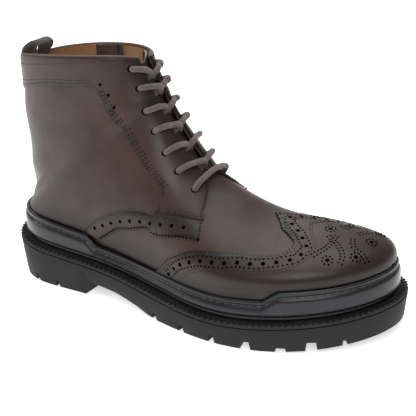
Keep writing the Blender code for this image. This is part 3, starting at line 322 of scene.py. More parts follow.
def evenOutHeel(points, signed):
    # Pull each inner point near the heel's back towards the mean of its neighbours.
    reach = np.abs(signed)
    byRow = np.clip(1 - np.abs(np.arange(len(points)) - heelRow) / heelEase["reach"], 0, 1) ** 0.5
    byColumn = np.clip((reach - heelEase["first"]) / heelEase["width"], 0, 1) * (reach < 0.999)
    pull = heelEase["pull"] * np.outer(byRow, byColumn)[1:-1, 1:-1, None]
    for _ in range(heelEase["passes"]):
        mean = (points[:-2, 1:-1] + points[2:, 1:-1] + points[1:-1, :-2] + points[1:-1, 2:]) / 4
        points[1:-1, 1:-1] += pull * (mean - points[1:-1, 1:-1])


def coarseGrid():
    # The same knots as the solid's facets.
    columns = [0.0] + [edgeColumn + 0.9 * i / sideColumns for i in range(sideColumns + 1)]
    columns += [1.5, 2.0]
    signed = np.array([-c for c in columns[:0:-1]] + columns)
    points = np.zeros((lastRow + 1, len(signed), 3))
    for r, data in enumerate(sectionRows()):
        for c, around in enumerate(signed):
            reach = min(1.0, abs(around)) if r > heelRow else abs(around)
            points[r, c] = sectionPoint(data, r, 0 if around < 0 else 1, reach)
    evenOutHeel(points, signed)
    points[:, :, 0] -= sole["heelRest"]
    return signed, points


def alongRows(points, at):
    # Smooth lines over the sections; the wall and the back seam meet at a corner.
    flip = points[:, ::-1]
    toe = flip[2:0:-1]
    full = through(np.arange(-2, lastRow + 1), np.concatenate([toe, points]), at)
    wall = np.concatenate([toe, points[: heelRow + 1], flip[heelRow - 1 : heelRow - 3 : -1]])
    low = through(np.arange(-2, heelRow + 3), wall, np.minimum(at, heelRow))
    high = through(np.arange(heelRow, lastRow + 1), points[heelRow:], np.maximum(at, heelRow))
    split = np.where((at <= heelRow)[:, None, None], low, high)
    near = ease((np.abs(signed) - 0.72) / 0.25)[None, :, None]
    return full * (1 - near) + split * near


def alongColumns(points, rowsAt, at):
    # Smooth lines round each section: over the wall in front, round the back seam behind.
    inside = np.abs(signed) <= 1.0
    last = np.flatnonzero(inside)[-1]
    swap = np.swapaxes(points, 0, 1)
    walled = through(signed, swap, at)
    core = swap[inside]
    mirrored = ease(rowsAt - heelRow + 1)[:, None]
    ends = []
    for tip, near, other, past in (
        (core[0], core[1], core[-2], core[-3]),
        (core[-1], core[-2], core[1], core[2]),
    ):
        one = (2 * tip - near) * (1 - mirrored) + other * mirrored
        two = (3 * tip - 2 * near) * (1 - mirrored) + past * mirrored
        ends.append((one, two))
    step = signed[last] - signed[last - 1]
    knots = np.concatenate([[-1 - 2 * step, -1 - step], signed[inside], [1 + step, 1 + 2 * step]])
    ring = np.concatenate([[ends[0][1], ends[0][0]], core, [ends[1][0], ends[1][1]]])
    closed = through(knots, ring, np.clip(at, -1, 1))
    blend = ease((rowsAt - heelRow + 3) / 3)[None, :, None]
    blend = np.where((np.abs(at) > 1.0)[:, None, None], 0.0, blend)
    return np.swapaxes(walled * (1 - blend) + closed * blend, 0, 1)


signed, knotGrid = coarseGrid()
rowsAt = np.linspace(0, lastRow, lastRow * fineness + 1)
indexAt = np.linspace(0, len(signed) - 1, (len(signed) - 1) * fineness + 1)
aroundAt = np.interp(indexAt, np.arange(len(signed)), signed)
wallCells = 2 * fineness


def outwardOf(points):
    # Outward directions; beyond the back seam the other side's first line stands in.
    work = points.copy()
    shaft = rowsAt > heelRow
    count = len(indexAt)
    work[shaft, wallCells - 1] = work[shaft, count - wallCells - 2]
    work[shaft, count - wallCells] = work[shaft, wallCells + 1]
    normal = np.cross(np.gradient(work, axis=1), np.gradient(work, axis=0))
    normal[0] = (1, 0, 0.25)
    normal[shaft, wallCells, 1] = 0
    normal[shaft, -1 - wallCells, 1] = 0
    return normal / np.maximum(np.linalg.norm(normal, axis=2), 1e-12)[:, :, None]


def softCreases(points, normal):
    # Troughs and ridges as listed: two ends in section and place round, width, height.
    moved = np.zeros(points.shape[:2])
    for (rowA, aroundA), (rowB, aroundB), width, height in creases:
        share = np.linspace(0, 1, 25)
        r = (rowA + (rowB - rowA) * share) * fineness
        c = np.interp(aroundA + (aroundB - aroundA) * share, signed, np.arange(len(signed))) * fineness
        line = points[np.round(r).astype(int), np.round(c).astype(int)]
        fade = np.sin(np.pi * np.clip(share, 0.02, 0.98)) ** 0.7
        away = np.linalg.norm(points[:, :, None] - line[None, None], axis=3)
        moved += height * np.max(fade * np.exp(-((away / width) ** 2)), axis=2)
    keep = ease((np.abs(aroundAt) - 0.02) / 0.05)[None, :]
    return points + normal * (moved * np.where(rowsAt[:, None] > throatRow, keep, 1.0))[:, :, None]


fineGrid = alongColumns(alongRows(knotGrid, rowsAt), rowsAt, aroundAt)
fineGrid = softCreases(fineGrid, outwardOf(fineGrid))
fineOut = outwardOf(fineGrid)


def skin(row, around, lift=0.0):
    # Points on the leather's outer face, lifted along its outward direction.
    r = np.clip(np.atleast_1d(np.asarray(row, float)), 0, lastRow) * fineness
    c = np.interp(np.atleast_1d(np.asarray(around, float)), signed, np.arange(len(signed))) * fineness
    i = np.minimum(r.astype(int), len(rowsAt) - 2)
    j = np.minimum(c.astype(int), len(indexAt) - 2)
    a, b = (r - i)[:, None], (c - j)[:, None]

    def mix(grid):
        low = grid[i, j] * (1 - b) + grid[i, j + 1] * b
        high = grid[i + 1, j] * (1 - b) + grid[i + 1, j + 1] * b
        return low * (1 - a) + high * a

    out = mix(fineOut)
    out /= np.linalg.norm(out, axis=1)[:, None]
    return mix(fineGrid) + out * np.reshape(lift, (-1, 1)), out


print("surface worked out")
# Helpers for lines on the surface.


def smoothLine(knots, perSpan=10):
    knots = np.array(knots, float)
    at = np.linspace(0, len(knots) - 1, (len(knots) - 1) * perSpan + 1)
    return through(np.arange(len(knots)), knots, at)


def walk(line, pitch):
    # Spots at an even pitch along a line of sections and places round.
    line = np.array(line, float)
    steps = np.arange(0, len(line) - 1 + 1e-9, 0.1)
    dense = np.stack([np.interp(steps, np.arange(len(line)), line[:, k]) for k in (0, 1)], axis=1)
    length = runLength(skin(dense[:, 0], dense[:, 1])[0])
    count = max(2, round(length[-1] / pitch))
    at = np.linspace(0, length[-1], count + 1)
    return np.stack([np.interp(at, length, dense[:, k]) for k in (0, 1)], axis=1)


def directions(spots):
    # Place, run and outward direction for each spot.
    place, out = skin(spots[:, 0], spots[:, 1])
    run = np.gradient(place, axis=0)
    run -= out * np.sum(run * out, axis=1)[:, None]
    run /= np.maximum(np.linalg.norm(run, axis=1), 1e-12)[:, None]
    return place, run, out


def slopeAlong(spots, step):
    # How the place on the leather changes with the section or the place round.
    ahead, behind = spots + step, spots - step
    change = skin(ahead[:, 0], ahead[:, 1])[0] - skin(behind[:, 0], behind[:, 1])[0]
    return change / (2 * max(step))


def stepAside(spots, distance):
    # The spots moved over the surface, at right angles to their line.
    _, run, out = directions(spots)
    aside = np.cross(out, run) * np.reshape(distance, (-1, 1))
    byRow = slopeAlong(spots, (0.02, 0.0))
    byAround = slopeAlong(spots, (0.0, 0.003))
    moved = []
    for spot, u, v, want in zip(spots, byRow, byAround, aside):
        moved.append(spot + np.linalg.lstsq(np.stack([u, v], axis=1), want, rcond=1e-4)[0])
    return np.array(moved)


def makeObject(name, vertices, faces, materials, smooth=True):
    mesh = bpy.data.meshes.new(name)
    mesh.from_pydata([tuple(p) for p in vertices], [], faces)
    thing = bpy.data.objects.new(name, mesh)
    for material in materials:
        mesh.materials.append(material)
    bpy.context.scene.collection.objects.link(thing)
    if smooth:
        mesh.shade_smooth()
    return thing


def faceOutwards(thing):
    work = bmesh.new()
    work.from_mesh(thing.data)
    bmesh.ops.remove_doubles(work, verts=work.verts, dist=1e-6)
    bmesh.ops.dissolve_degenerate(work, dist=1e-7, edges=work.edges)
    bmesh.ops.recalc_face_normals(work, faces=work.faces)
    if work.calc_volume(signed=True) < 0:
        bmesh.ops.reverse_faces(work, faces=work.faces)
    work.to_mesh(thing.data)
    work.free()


def bake(thing):
    # The evaluated mesh takes the place of the modifiers.
    graph = bpy.context.evaluated_depsgraph_get()
    mesh = bpy.data.meshes.new_from_object(thing.evaluated_get(graph))
    thing.modifiers.clear()
    thing.data = mesh


def settle(thing, slotName, *nodes):
    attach(thing, "boot")
    if nodes:
        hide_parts(*nodes)
    return thing


def insideOutline(points, outline):
    x, y = points[:, 0], points[:, 1]
    inside = np.zeros(len(points), bool)
    for (xa, ya), (xb, yb) in zip(outline, np.roll(outline, -1, axis=0)):
        crosses = (ya > y) != (yb > y)
        with np.errstate(divide="ignore", invalid="ignore"):
            inside ^= crosses & (x < (xb - xa) * (y - ya) / (yb - ya) + xa)
    return inside


def awayFrom(points, outline):
    best = np.full(len(points), 1e9)
    for a, b in zip(outline, np.roll(outline, -1, axis=0)):
        run = b - a
        share = np.clip(((points - a) @ run) / max(run @ run, 1e-12), 0, 1)
        best = np.minimum(best, np.linalg.norm(points - a - share[:, None] * run, axis=1))
    return best


def shortSteps(outline):
    # No step of the closed outline is long enough to cut across the curved leather.
    outline = np.asarray(outline, float)
    made = []
    for here, there in zip(outline, np.roll(outline, -1, axis=0)):
        reach = np.abs(there - here)
        count = math.ceil(max(1, reach[0] / overlay["rowStep"], reach[1] / overlay["aroundStep"]))
        made.append(here + (there - here) * (np.arange(count) / count)[:, None])
    return np.vstack(made)


def layPattern(name, outline, low, high, materials, cell=None):
    # A leather piece cut flat from its outline and laid on the last, with soft edges.
    cell = cell or overlay["cell"]
    stretch = np.array([1.0, overlay["acrossScale"]])
    flat = shortSteps(outline) * stretch
    keep = np.linalg.norm(np.roll(flat, -1, axis=0) - flat, axis=1) > 1e-4
    flat = flat[keep]
    lowest, highest = flat.min(0), flat.max(0)
    acrossX, acrossY = (np.arange(a, b, cell) for a, b in zip(lowest, highest))
    grid = np.stack(np.meshgrid(acrossX, acrossY), axis=-1).reshape(-1, 2)
    grid = grid[insideOutline(grid, flat)]
    grid = grid[awayFrom(grid, flat) > overlay["rimRoom"] * cell]
    count = len(flat)
    points = [Vector(p) for p in np.vstack([flat, grid])]
    edges = [(i, (i + 1) % count) for i in range(count)]
    found = geometry.delaunay_2d_cdt(points, edges, [], 1, 1e-6)
    places = np.array([tuple(p) for p in found[0]])
    faces = [tuple(f) for f in found[2]]
    middle = np.array([places[list(f)].mean(0) for f in faces])
    inside = insideOutline(middle, flat)
    faces = [f for f, good in zip(faces, inside) if good]
    used = dict.fromkeys(pair for face in faces for pair in zip(face, face[1:] + face[:1]))
    rim = [(a, b) for a, b in used if (b, a) not in used]
    onRim = {a for pair in rim for a in pair}
    spots = places / stretch
    drop = overlay["edgeDrop"] * (high - low)
    lifts = np.array([high - drop if i in onRim else high for i in range(len(spots))])
    top = skin(spots[:, 0], spots[:, 1], lifts)[0]
    base = skin(spots[:, 0], spots[:, 1], low)[0]
    size = len(spots)
    every = list(faces)
    every += [tuple(size + i for i in f[::-1]) for f in faces]
    every += [(b, a, size + a, size + b) for a, b in rim]
    thing = makeObject(name, np.vstack([top, base]), every, materials)
    faceOutwards(thing)
    thing.data.set_sharp_from_angle(angle=math.radians(overlay["sharp"]))
    return thing


def pinkedEdge(line, pitch, depth):
    # A line of small points, as pinking shears leave.
    spots = walk(line, 0.5 * pitch)
    depths = np.where(np.arange(len(spots)) % 2 == 0, 0.0, depth)
    return stepAside(spots, depths)


def storedDirection(nodes, name):
    node = nodes.new("GeometryNodeInputNamedAttribute")
    node.data_type = "FLOAT_VECTOR"
    node.inputs["Name"].default_value = name
    return node.outputs["Attribute"]


def repeatTree():
    # One piece set on each point, turned to the run and outward directions stored there.
    tree = bpy.data.node_groups.new("repeatPiece", "GeometryNodeTree")
    face = tree.interface
    face.new_socket("Points", in_out="INPUT", socket_type="NodeSocketGeometry")
    face.new_socket("Piece", in_out="INPUT", socket_type="NodeSocketObject")
    face.new_socket("Size", in_out="INPUT", socket_type="NodeSocketVector")
    face.new_socket("Lift", in_out="INPUT", socket_type="NodeSocketFloat")
    face.new_socket("Material", in_out="INPUT", socket_type="NodeSocketMaterial")
    face.new_socket("Pieces", in_out="OUTPUT", socket_type="NodeSocketGeometry")
    made, link = tree.nodes, tree.links

    given = made.new("NodeGroupInput")
    done = made.new("NodeGroupOutput")
    turn = made.new("FunctionNodeAxesToRotation")
    turn.primary_axis, turn.secondary_axis = "Z", "X"
    link.new(storedDirection(made, "outward"), turn.inputs["Primary Axis"])
    link.new(storedDirection(made, "run"), turn.inputs["Secondary Axis"])
    raised = made.new("ShaderNodeVectorMath")
    raised.operation = "SCALE"
    link.new(storedDirection(made, "outward"), raised.inputs[0])
    link.new(given.outputs["Lift"], raised.inputs["Scale"])
    move = made.new("GeometryNodeSetPosition")
    link.new(given.outputs["Points"], move.inputs["Geometry"])
    link.new(raised.outputs["Vector"], move.inputs["Offset"])
    source = made.new("GeometryNodeObjectInfo")
    link.new(given.outputs["Piece"], source.inputs["Object"])
    place = made.new("GeometryNodeInstanceOnPoints")
    link.new(move.outputs["Geometry"], place.inputs["Points"])
    link.new(source.outputs["Geometry"], place.inputs["Instance"])
    link.new(turn.outputs["Rotation"], place.inputs["Rotation"])
    link.new(given.outputs["Size"], place.inputs["Scale"])
    solid = made.new("GeometryNodeRealizeInstances")
    link.new(place.outputs["Instances"], solid.inputs["Geometry"])
    paint = made.new("GeometryNodeSetMaterial")
    link.new(solid.outputs["Geometry"], paint.inputs["Geometry"])
    link.new(given.outputs["Material"], paint.inputs["Material"])
    link.new(paint.outputs["Geometry"], done.inputs["Pieces"])
    return tree


repeatGroup = repeatTree()


def repeatPiece(name, spots, piece, size, lift, material, slotName):
    # spots: place, run and outward direction of each one.
    place, run, out = spots
    guide = makeObject(name + "Guide", place, [], [], smooth=False)
    for label, values in (("run", run), ("outward", out)):
        stored = guide.data.attributes.new(label, "FLOAT_VECTOR", "POINT")
        stored.data.foreach_set("vector", np.ascontiguousarray(values, np.float32).ravel())
    modifier = guide.modifiers.new("repeat", "NODES")
    modifier.node_group = repeatGroup
    sockets = {s.name: s.identifier for s in repeatGroup.interface.items_tree if s.item_type == "SOCKET"}
    for label, value in (("Piece", piece), ("Size", size), ("Lift", lift), ("Material", material)):
        modifier[sockets[label]] = value
    bake(guide)
    guide.name = name
    guide.data.shade_smooth()
    return settle(guide, slotName)


def joinSpots(groups):
    return tuple(np.vstack([g[k] for g in groups]) for k in range(3))


# Materials, all on object coordinates in metres.


def material(name):
    made = bpy.data.materials.new(name)
    made.use_nodes = True
    tree = made.node_tree
    return made, tree.nodes, tree.links, tree.nodes["Principled BSDF"]


def noise(made, links, coords, scale, detail=4.0, rough=0.55, distortion=0.0):
    node = made.new("ShaderNodeTexNoise")
    node.inputs["Scale"].default_value = scale
    node.inputs["Detail"].default_value = detail
    node.inputs["Roughness"].default_value = rough
    node.inputs["Distortion"].default_value = distortion
    links.new(coords, node.inputs["Vector"])
    return node.outputs["Fac"]


def ramp(made, links, value, stops):
    node = made.new("ShaderNodeValToRGB")
    for element, (position, colour) in zip(node.color_ramp.elements, stops):
        element.position = position
        element.color = (*colour, 1)
    links.new(value, node.inputs["Fac"])
    return node.outputs["Color"]


def mixColours(made, links, factor, first, second, mode="MIX"):
    node = made.new("ShaderNodeMix")
    node.data_type = "RGBA"
    node.blend_type = mode
    for socket, value in ((node.inputs[0], factor), (node.inputs[6], first), (node.inputs[7], second)):
        if isinstance(value, (int, float)):
            socket.default_value = value
        elif isinstance(value, tuple):
            socket.default_value = (*value, 1)
        else:
            links.new(value, socket)
    return node.outputs[2]


def spread(made, links, value, low, high, outLow, outHigh):
    node = made.new("ShaderNodeMapRange")
    node.inputs["From Min"].default_value = low
    node.inputs["From Max"].default_value = high
    node.inputs["To Min"].default_value = outLow
    node.inputs["To Max"].default_value = outHigh
    links.new(value, node.inputs["Value"])
    return node.outputs["Result"]


def bump(made, links, shader, layers):
    # layers: height socket, strength, distance in metres.
    last = None
    for height, strength, distance in layers:
        node = made.new("ShaderNodeBump")
        node.inputs["Strength"].default_value = strength
        node.inputs["Distance"].default_value = distance
        links.new(height, node.inputs["Height"])
        if last:
            links.new(last, node.inputs["Normal"])
        last = node.outputs["Normal"]
    links.new(last, shader.inputs["Normal"])


def leather(name, light, dark, roughness, burnishAndShade=0.92):
    # Burnished calf: cloudy colour, darker at edges, above the rand and along the laces, partly by burnish
    # and partly by painted shade; fine pores.
    made, nodes, links, shader = material(name)
    coords = nodes.new("ShaderNodeTexCoord").outputs["Object"]
    cloud = noise(nodes, links, coords, 32.0, 5.0, 0.6)
    base = ramp(nodes, links, cloud, ((0.32, dark), (0.68, light)))
    shadeAndBurnish = nodes.new("ShaderNodeAttribute")
    shadeAndBurnish.attribute_name = "burnishAndShade"
    shade = spread(nodes, links, shadeAndBurnish.outputs["Fac"], 0, 1, 0, burnishAndShade)
    # Painted shade and burnish: the colour goes towards near-black where the stored darkening is high.
    base = mixColours(nodes, links, shade, base, tuple(0.14 * v for v in dark))
    links.new(base, shader.inputs["Base Color"])
    scuff = noise(nodes, links, coords, 95.0, 6.0, 0.7)
    gloss = spread(nodes, links, scuff, 0.3, 0.7, roughness - 0.05, roughness + 0.07)
    links.new(gloss, shader.inputs["Roughness"])
    pores = nodes.new("ShaderNodeTexVoronoi")
    pores.inputs["Scale"].default_value = 1500.0
    links.new(coords, pores.inputs["Vector"])
    fold = noise(nodes, links, coords, 210.0, 3.0, 0.5, 0.4)
    bump(nodes, links, shader, (
        (fold, 0.30, 0.00035), (pores.outputs["Distance"], 0.22, 0.00012)))
    shader.inputs["Specular IOR Level"].default_value = 0.32
    shader.inputs["Coat Weight"].default_value = 0.16
    shader.inputs["Coat Roughness"].default_value = 0.28
    return made


def rubber(name, light, dark, roughness, coat=0.0, grain=0.25):
    made, nodes, links, shader = material(name)
    coords = nodes.new("ShaderNodeTexCoord").outputs["Object"]
    dust = noise(nodes, links, coords, 60.0, 6.0, 0.65)
    links.new(ramp(nodes, links, dust, ((0.35, dark), (0.7, light))), shader.inputs["Base Color"])
    fine = noise(nodes, links, coords, 1400.0, 2.0, 0.5)
    gloss = spread(nodes, links, dust, 0.3, 0.7, roughness - 0.06, roughness + 0.08)
    links.new(gloss, shader.inputs["Roughness"])
    bump(nodes, links, shader, ((fine, grain, 0.0002),))
    shader.inputs["Coat Weight"].default_value = coat
    shader.inputs["Specular IOR Level"].default_value = 0.3
    shader.inputs["Coat Roughness"].default_value = 0.22
    return made


def cloth(name, light, dark, scale=1700.0, strength=0.5):
    made, nodes, links, shader = material(name)
    coords = nodes.new("ShaderNodeTexCoord").outputs["Object"]
    weave = nodes.new("ShaderNodeTexVoronoi")
    weave.inputs["Scale"].default_value = scale
    links.new(coords, weave.inputs["Vector"])
    tone = noise(nodes, links, coords, 240.0, 3.0)
    links.new(ramp(nodes, links, tone, ((0.35, dark), (0.65, light))), shader.inputs["Base Color"])
    bump(nodes, links, shader, ((weave.outputs["Distance"], strength, 0.0003),))
    shader.inputs["Roughness"].default_value = 0.85
    shader.inputs["Sheen Weight"].default_value = 0.25
    return made


def braid(name, light, dark):
    # Lace: a woven cord, its strands crossing on the piece's own UV map.
    made, nodes, links, shader = material(name)
    uv = nodes.new("ShaderNodeUVMap")
    uv.uv_map = "weave"
    waves = []
    for slant in (1.0, -1.0):
        turn = nodes.new("ShaderNodeMapping")
        turn.inputs["Rotation"].default_value = (0, 0, slant * 0.6)
        links.new(uv.outputs["UV"], turn.inputs["Vector"])
        wave = nodes.new("ShaderNodeTexWave")
        wave.inputs["Scale"].default_value = 3.2
        wave.inputs["Distortion"].default_value = 0.4
        links.new(turn.outputs["Vector"], wave.inputs["Vector"])
        waves.append(wave.outputs["Fac"])
    both = nodes.new("ShaderNodeMath")
    both.operation = "MAXIMUM"
    links.new(waves[0], both.inputs[0])
    links.new(waves[1], both.inputs[1])
    colour = ramp(nodes, links, both.outputs["Value"], ((0.2, dark), (0.85, light)))
    links.new(colour, shader.inputs["Base Color"])
    bump(nodes, links, shader, ((both.outputs["Value"], 0.6, 0.0005),))
    shader.inputs["Roughness"].default_value = 0.72
    shader.inputs["Sheen Weight"].default_value = 0.3
    return made


def metal(name, colour, roughness):
    made, nodes, links, shader = material(name)
    coords = nodes.new("ShaderNodeTexCoord").outputs["Object"]
    wear = noise(nodes, links, coords, 400.0, 4.0)
    dark = tuple(0.45 * v for v in colour)
    links.new(ramp(nodes, links, wear, ((0.35, dark), (0.6, colour))), shader.inputs["Base Color"])
    shader.inputs["Metallic"].default_value = 1.0
    shader.inputs["Roughness"].default_value = roughness
    return made


def plain(name, colour, roughness, shine=0.4):
    made, *_, shader = material(name)
    shader.inputs["Base Color"].default_value = (*colour, 1)
    shader.inputs["Roughness"].default_value = roughness
    shader.inputs["Specular IOR Level"].default_value = shine
    return made


upperLeather = leather("upperLeather", (0.056, 0.028, 0.020), (0.028, 0.0132, 0.0096), 0.43)
capLeather = leather("capLeather", (0.050, 0.0235, 0.0165), (0.022, 0.0100, 0.0072), 0.38)
liningLeather = leather("liningLeather", (0.40, 0.21, 0.10), (0.27, 0.13, 0.055), 0.62, 0.4)
edgeLeather = plain("edgeLeather", (0.110, 0.062, 0.046), 0.6)
insideLeather = leather("insideLeather", (0.075, 0.042, 0.032), (0.05, 0.028, 0.022), 0.55)
threadBrown = plain("threadBrown", (0.026, 0.015, 0.012), 0.6, 0.2)
# Painted shade: near-black floors of the punched holes and the pinked notches.
holeShade = plain("holeShade", (0.0022, 0.0014, 0.0012), 0.9, 0.0)
soleRubber = rubber("soleRubber", (0.016, 0.016, 0.017), (0.009, 0.009, 0.010), 0.66)
weltRubber = rubber("weltRubber", (0.026, 0.025, 0.026), (0.012, 0.012, 0.013), 0.60)
randRubber = rubber("randRubber", (0.0075, 0.0085, 0.012), (0.0045, 0.005, 0.007), 0.30, 0.35, 0.10)
randThread = plain("randThread", (0.10, 0.09, 0.085), 0.7)
laceCloth = braid("laceCloth", (0.130, 0.090, 0.084), (0.038, 0.025, 0.023))
tapeCloth = cloth("tapeCloth", (0.030, 0.026, 0.025), (0.014, 0.012, 0.012))
zipMetal = metal("zipMetal", (0.28, 0.25, 0.22), 0.35)
print("materials made")

# Small source pieces for the repeats, each one unit wide; they are not part of the boot.


def sourcePiece(name, build):
    mesh = bpy.data.meshes.new(name)
    work = bmesh.new()
    build(work)
    work.to_mesh(mesh)
    work.free()
    mesh.shade_smooth()
    thing = bpy.data.objects.new(name, mesh)
    return thing


def stitchShape(work):
    # A short thread, rounded at both ends.
    bmesh.ops.create_uvsphere(work, u_segments=8, v_segments=6, radius=0.5)


def holeShape(work):
    # A punched hole: a dark floor, painted shade for the hole's inside, in a low rounded lip.
    sides = 14
    rings = ((0.36, 0.08), (0.44, 0.14), (0.52, 0.12), (0.58, -0.10))
    made = []
    for radius, height in rings:
        turns = [2 * math.pi * i / sides for i in range(sides)]
        made.append([work.verts.new((radius * math.cos(a), radius * math.sin(a), height)) for a in turns])
    for lower, upper in zip(made, made[1:]):
        for i in range(sides):
            j = (i + 1) % sides
            work.faces.new((lower[j], lower[i], upper[i], upper[j]))
    work.faces.new(made[-1][::-1])
    work.faces.new(made[0])


def discShape(work):
    bmesh.ops.create_uvsphere(work, u_segments=12, v_segments=6, radius=0.5)


def ribShape(work):
    # A block with rounded long edges.
    bmesh.ops.create_cube(work, size=1.0)
    bmesh.ops.bevel(work, geom=work.edges[:], offset=0.16, segments=2, affect="EDGES")


stitchPiece = sourcePiece("stitchPiece", stitchShape)
holePiece = sourcePiece("holePiece", holeShape)
discPiece = sourcePiece("discPiece", discShape)
ribPiece = sourcePiece("ribPiece", ribShape)

# Outlines of the overlays, smoothed from their tables.


def clipTop(line):
    return [(min(row, float(lastRow)), around) for row, around in line]


def sideOf(line, sign):
    return np.array([(row, sign * around) for row, around in line], float)


def cornered(line, corners, perSpan=8):
    # Smooth stretches between the named corner points.
    stops = [0, *corners, len(line) - 1]
    parts = []
    for a, b in zip(stops, stops[1:]):
        if b - a > 1:
            parts.append(smoothLine(line[a : b + 1], perSpan))
        elif b > a:
            parts.append(np.array(line[a : b + 1], float))
    return np.vstack([p[:-1] for p in parts[:-1]] + [parts[-1]])


def randTopAround(row):
    # Place round the section, on the wall, at the top of the rand.
    table = np.array(randTop)
    high = np.interp(row, table[:, 0], table[:, 1]) * shell["randHigh"]
    room = shell["wallHeight"] - high - 2 * shell["clearance"]
    return 1.0 + np.maximum(room, 0.0) / (shell["wallHeight"] + shell["welt"])


def nearness(places, spots, amount, reach):
    # The amount, fading with the distance from the nearest of the spots.
    nearest = np.full(len(places), 1.0)
    for start in range(0, len(places), 2000):
        part = places[start : start + 2000]
        nearest[start : start + 2000] = np.min(np.linalg.norm(part[:, None] - spots[None], axis=2), axis=1)
    return amount * np.exp(-((nearest / reach) ** 2))


def burnishAndShadeLines():
    # Where the leather is darkened, partly burnish and partly painted shade: above the rand, and along the
    # lace edge.
    foot, front = [], []
    for sign in (-1, 1):
        rows = np.linspace(0.2, lastRow, 120)
        foot.append(skin(rows, sign * randTopAround(np.minimum(rows, heelRow)))[0])
        rows = np.linspace(throatRow, lastRow, 60)
        front.append(skin(rows, np.full(60, sign * edgeColumn))[0])
    return np.vstack(foot), np.vstack(front)


footLine, frontLine = burnishAndShadeLines()
# Amounts and reaches of the darkening: partly burnish, partly painted shade along the lace edge and above the
# rand.
shadeAndBurnish = dict(
    foot=0.95, footReach=0.017, front=0.90, frontReach=0.013, edgeReach=0.007, rimReach=0.001, sharp=0.8)


def isSharp(vertex):
    return any(len(e.link_faces) == 2 and e.calc_face_angle(0) > shadeAndBurnish["sharp"] for e in vertex.link_edges)


def burnishAndShade(thing, ownEdge=0.0):
    # Darker leather at its own edge, above the rand and along the laces: partly burnish, partly painted
    # shade.
    work = bmesh.new()
    work.from_mesh(thing.data)
    places = np.array([v.co for v in work.verts])
    sharp = np.array([isSharp(v) for v in work.verts])
    work.free()
    value = np.maximum(
        nearness(places, footLine, shadeAndBurnish["foot"], shadeAndBurnish["footReach"]),
        nearness(places, frontLine, shadeAndBurnish["front"], shadeAndBurnish["frontReach"]))
    if ownEdge and sharp.any():
        value = np.maximum(value, nearness(places, places[sharp], ownEdge, shadeAndBurnish["edgeReach"]))
        value = np.maximum(value, nearness(places, places[sharp], 1.0, shadeAndBurnish["rimReach"]))
    stored = thing.data.attributes.new("burnishAndShade", "FLOAT", "POINT")
    stored.data.foreach_set("value", value.astype(np.float32))


# Upper: the leather wall with its lining.


zipSizes = dict(
    place=0.066, footPlace=0.074, footHeight=0.076, slot=0.006, open=0.018, openWidth=0.014,
    pastCollar=0.02, cutReach=0.014, innerSide=0.01,
    toothPitch=0.0022, tooth=(0.0030, 0.0013, 0.0016), toothShift=0.0007)


def zipLine(height):
    # Place along the boot of the zip at a height.
    share = (height - zipSizes["footHeight"]) / (shell["collar"] - zipSizes["footHeight"])
    return zipSizes["footPlace"] + (zipSizes["place"] - zipSizes["footPlace"]) * share - sole["heelRest"]


def nearZip(work):
    near = []
    for face in work.faces:
        middle = face.calc_center_median()
        if middle.y > zipSizes["innerSide"] and abs(middle.x - zipLine(middle.z)) < zipSizes["cutReach"]:
            near.append(face)
    return near


def splitNearZip(work, point, normal):
    near = nearZip(work)
    geom = list({e for f in near for e in f.edges}) + list({v for f in near for v in f.verts}) + near
    bmesh.ops.bisect_plane(work, geom=geom, plane_co=point, plane_no=normal)


def slotCut(work):
    # The slot for the zip: faces are split along its edges, then removed.
    half, halfTop = 0.5 * zipSizes["slot"], 0.5 * zipSizes["openWidth"]
    foot, bend = zipSizes["footHeight"], shell["collar"] - zipSizes["open"]
    slope = zipLine(1.0) - zipLine(0.0)
    for sign in (-1, 1):
        splitNearZip(work, (zipLine(bend) + sign * half, 0, bend), (1, 0, -slope))
    for height in (foot, bend):
        splitNearZip(work, (0, 0, height), (0, 0, 1))
    flare = (halfTop - half) / (shell["collar"] + zipSizes["pastCollar"] - bend)
    for sign in (-1, 1):
        splitNearZip(work, (zipLine(bend) + sign * half, 0, bend), (1, 0, -slope - sign * flare))
    gone = []
    for face in nearZip(work):
        middle = face.calc_center_median()
        wide = half + flare * max(middle.z - bend, 0.0)
        if middle.z > foot and abs(middle.x - zipLine(middle.z)) < wide:
            gone.append(face)
    bmesh.ops.delete(work, geom=gone, context="FACES")


def makeUpper():
    rows, columns = len(rowsAt), len(indexAt)
    faces = []
    for i in range(rows - 1):
        for j in range(columns - 1):
            middle = 0.5 * abs(aroundAt[j] + aroundAt[j + 1])
            if i >= heelRow * fineness and middle > 1.0:
                continue
            if i >= throatRow * fineness and middle < edgeColumn:
                continue
            a = i * columns + j
            faces.append((a, a + 1, a + 1 + columns, a + columns))
    leathers = [upperLeather, liningLeather, edgeLeather]
    thing = makeObject("upperSkin", fineGrid.reshape(-1, 3), faces, leathers)
    work = bmesh.new()
    work.from_mesh(thing.data)
    bmesh.ops.delete(work, geom=[v for v in work.verts if not v.link_faces], context="VERTS")
    bmesh.ops.remove_doubles(work, verts=work.verts, dist=1e-6)
    bmesh.ops.dissolve_degenerate(work, dist=1e-7, edges=work.edges)
    bmesh.ops.recalc_face_normals(work, faces=work.faces)
    probe = max(work.faces, key=lambda f: f.calc_center_median().y)
    if probe.normal.y < 0:
        bmesh.ops.reverse_faces(work, faces=work.faces)
    slotCut(work)
    work.to_mesh(thing.data)
    work.free()
    solid = thing.modifiers.new("wall", "SOLIDIFY")
    solid.thickness = shell["wall"]
    solid.offset = -1.0
    solid.material_offset = 1
    solid.material_offset_rim = 2
    solid.thickness_clamp = 1.0
    bake(thing)
    thing.data.set_sharp_from_angle(angle=math.radians(overlay["sharp"]))
    burnishAndShade(thing)
    return settle(thing, "upper_leather", "upper")


upper = makeUpper()
print("upper made")

# Toe cap with its wings.

# The burnish amounts darken each piece's own edge: partly burnish, partly painted shade.
capSizes = dict(pinkPitch=0.0028, pinkDepth=0.0013, rimSpots=90, tipGap=0.02, burnishAndShade=0.7)
facingSizes = dict(corners=(1, 2, 8, 14, 15, 17, 22), burnishAndShade=0.25, bandBurnishAndShade=0.6, bandTurn=7)


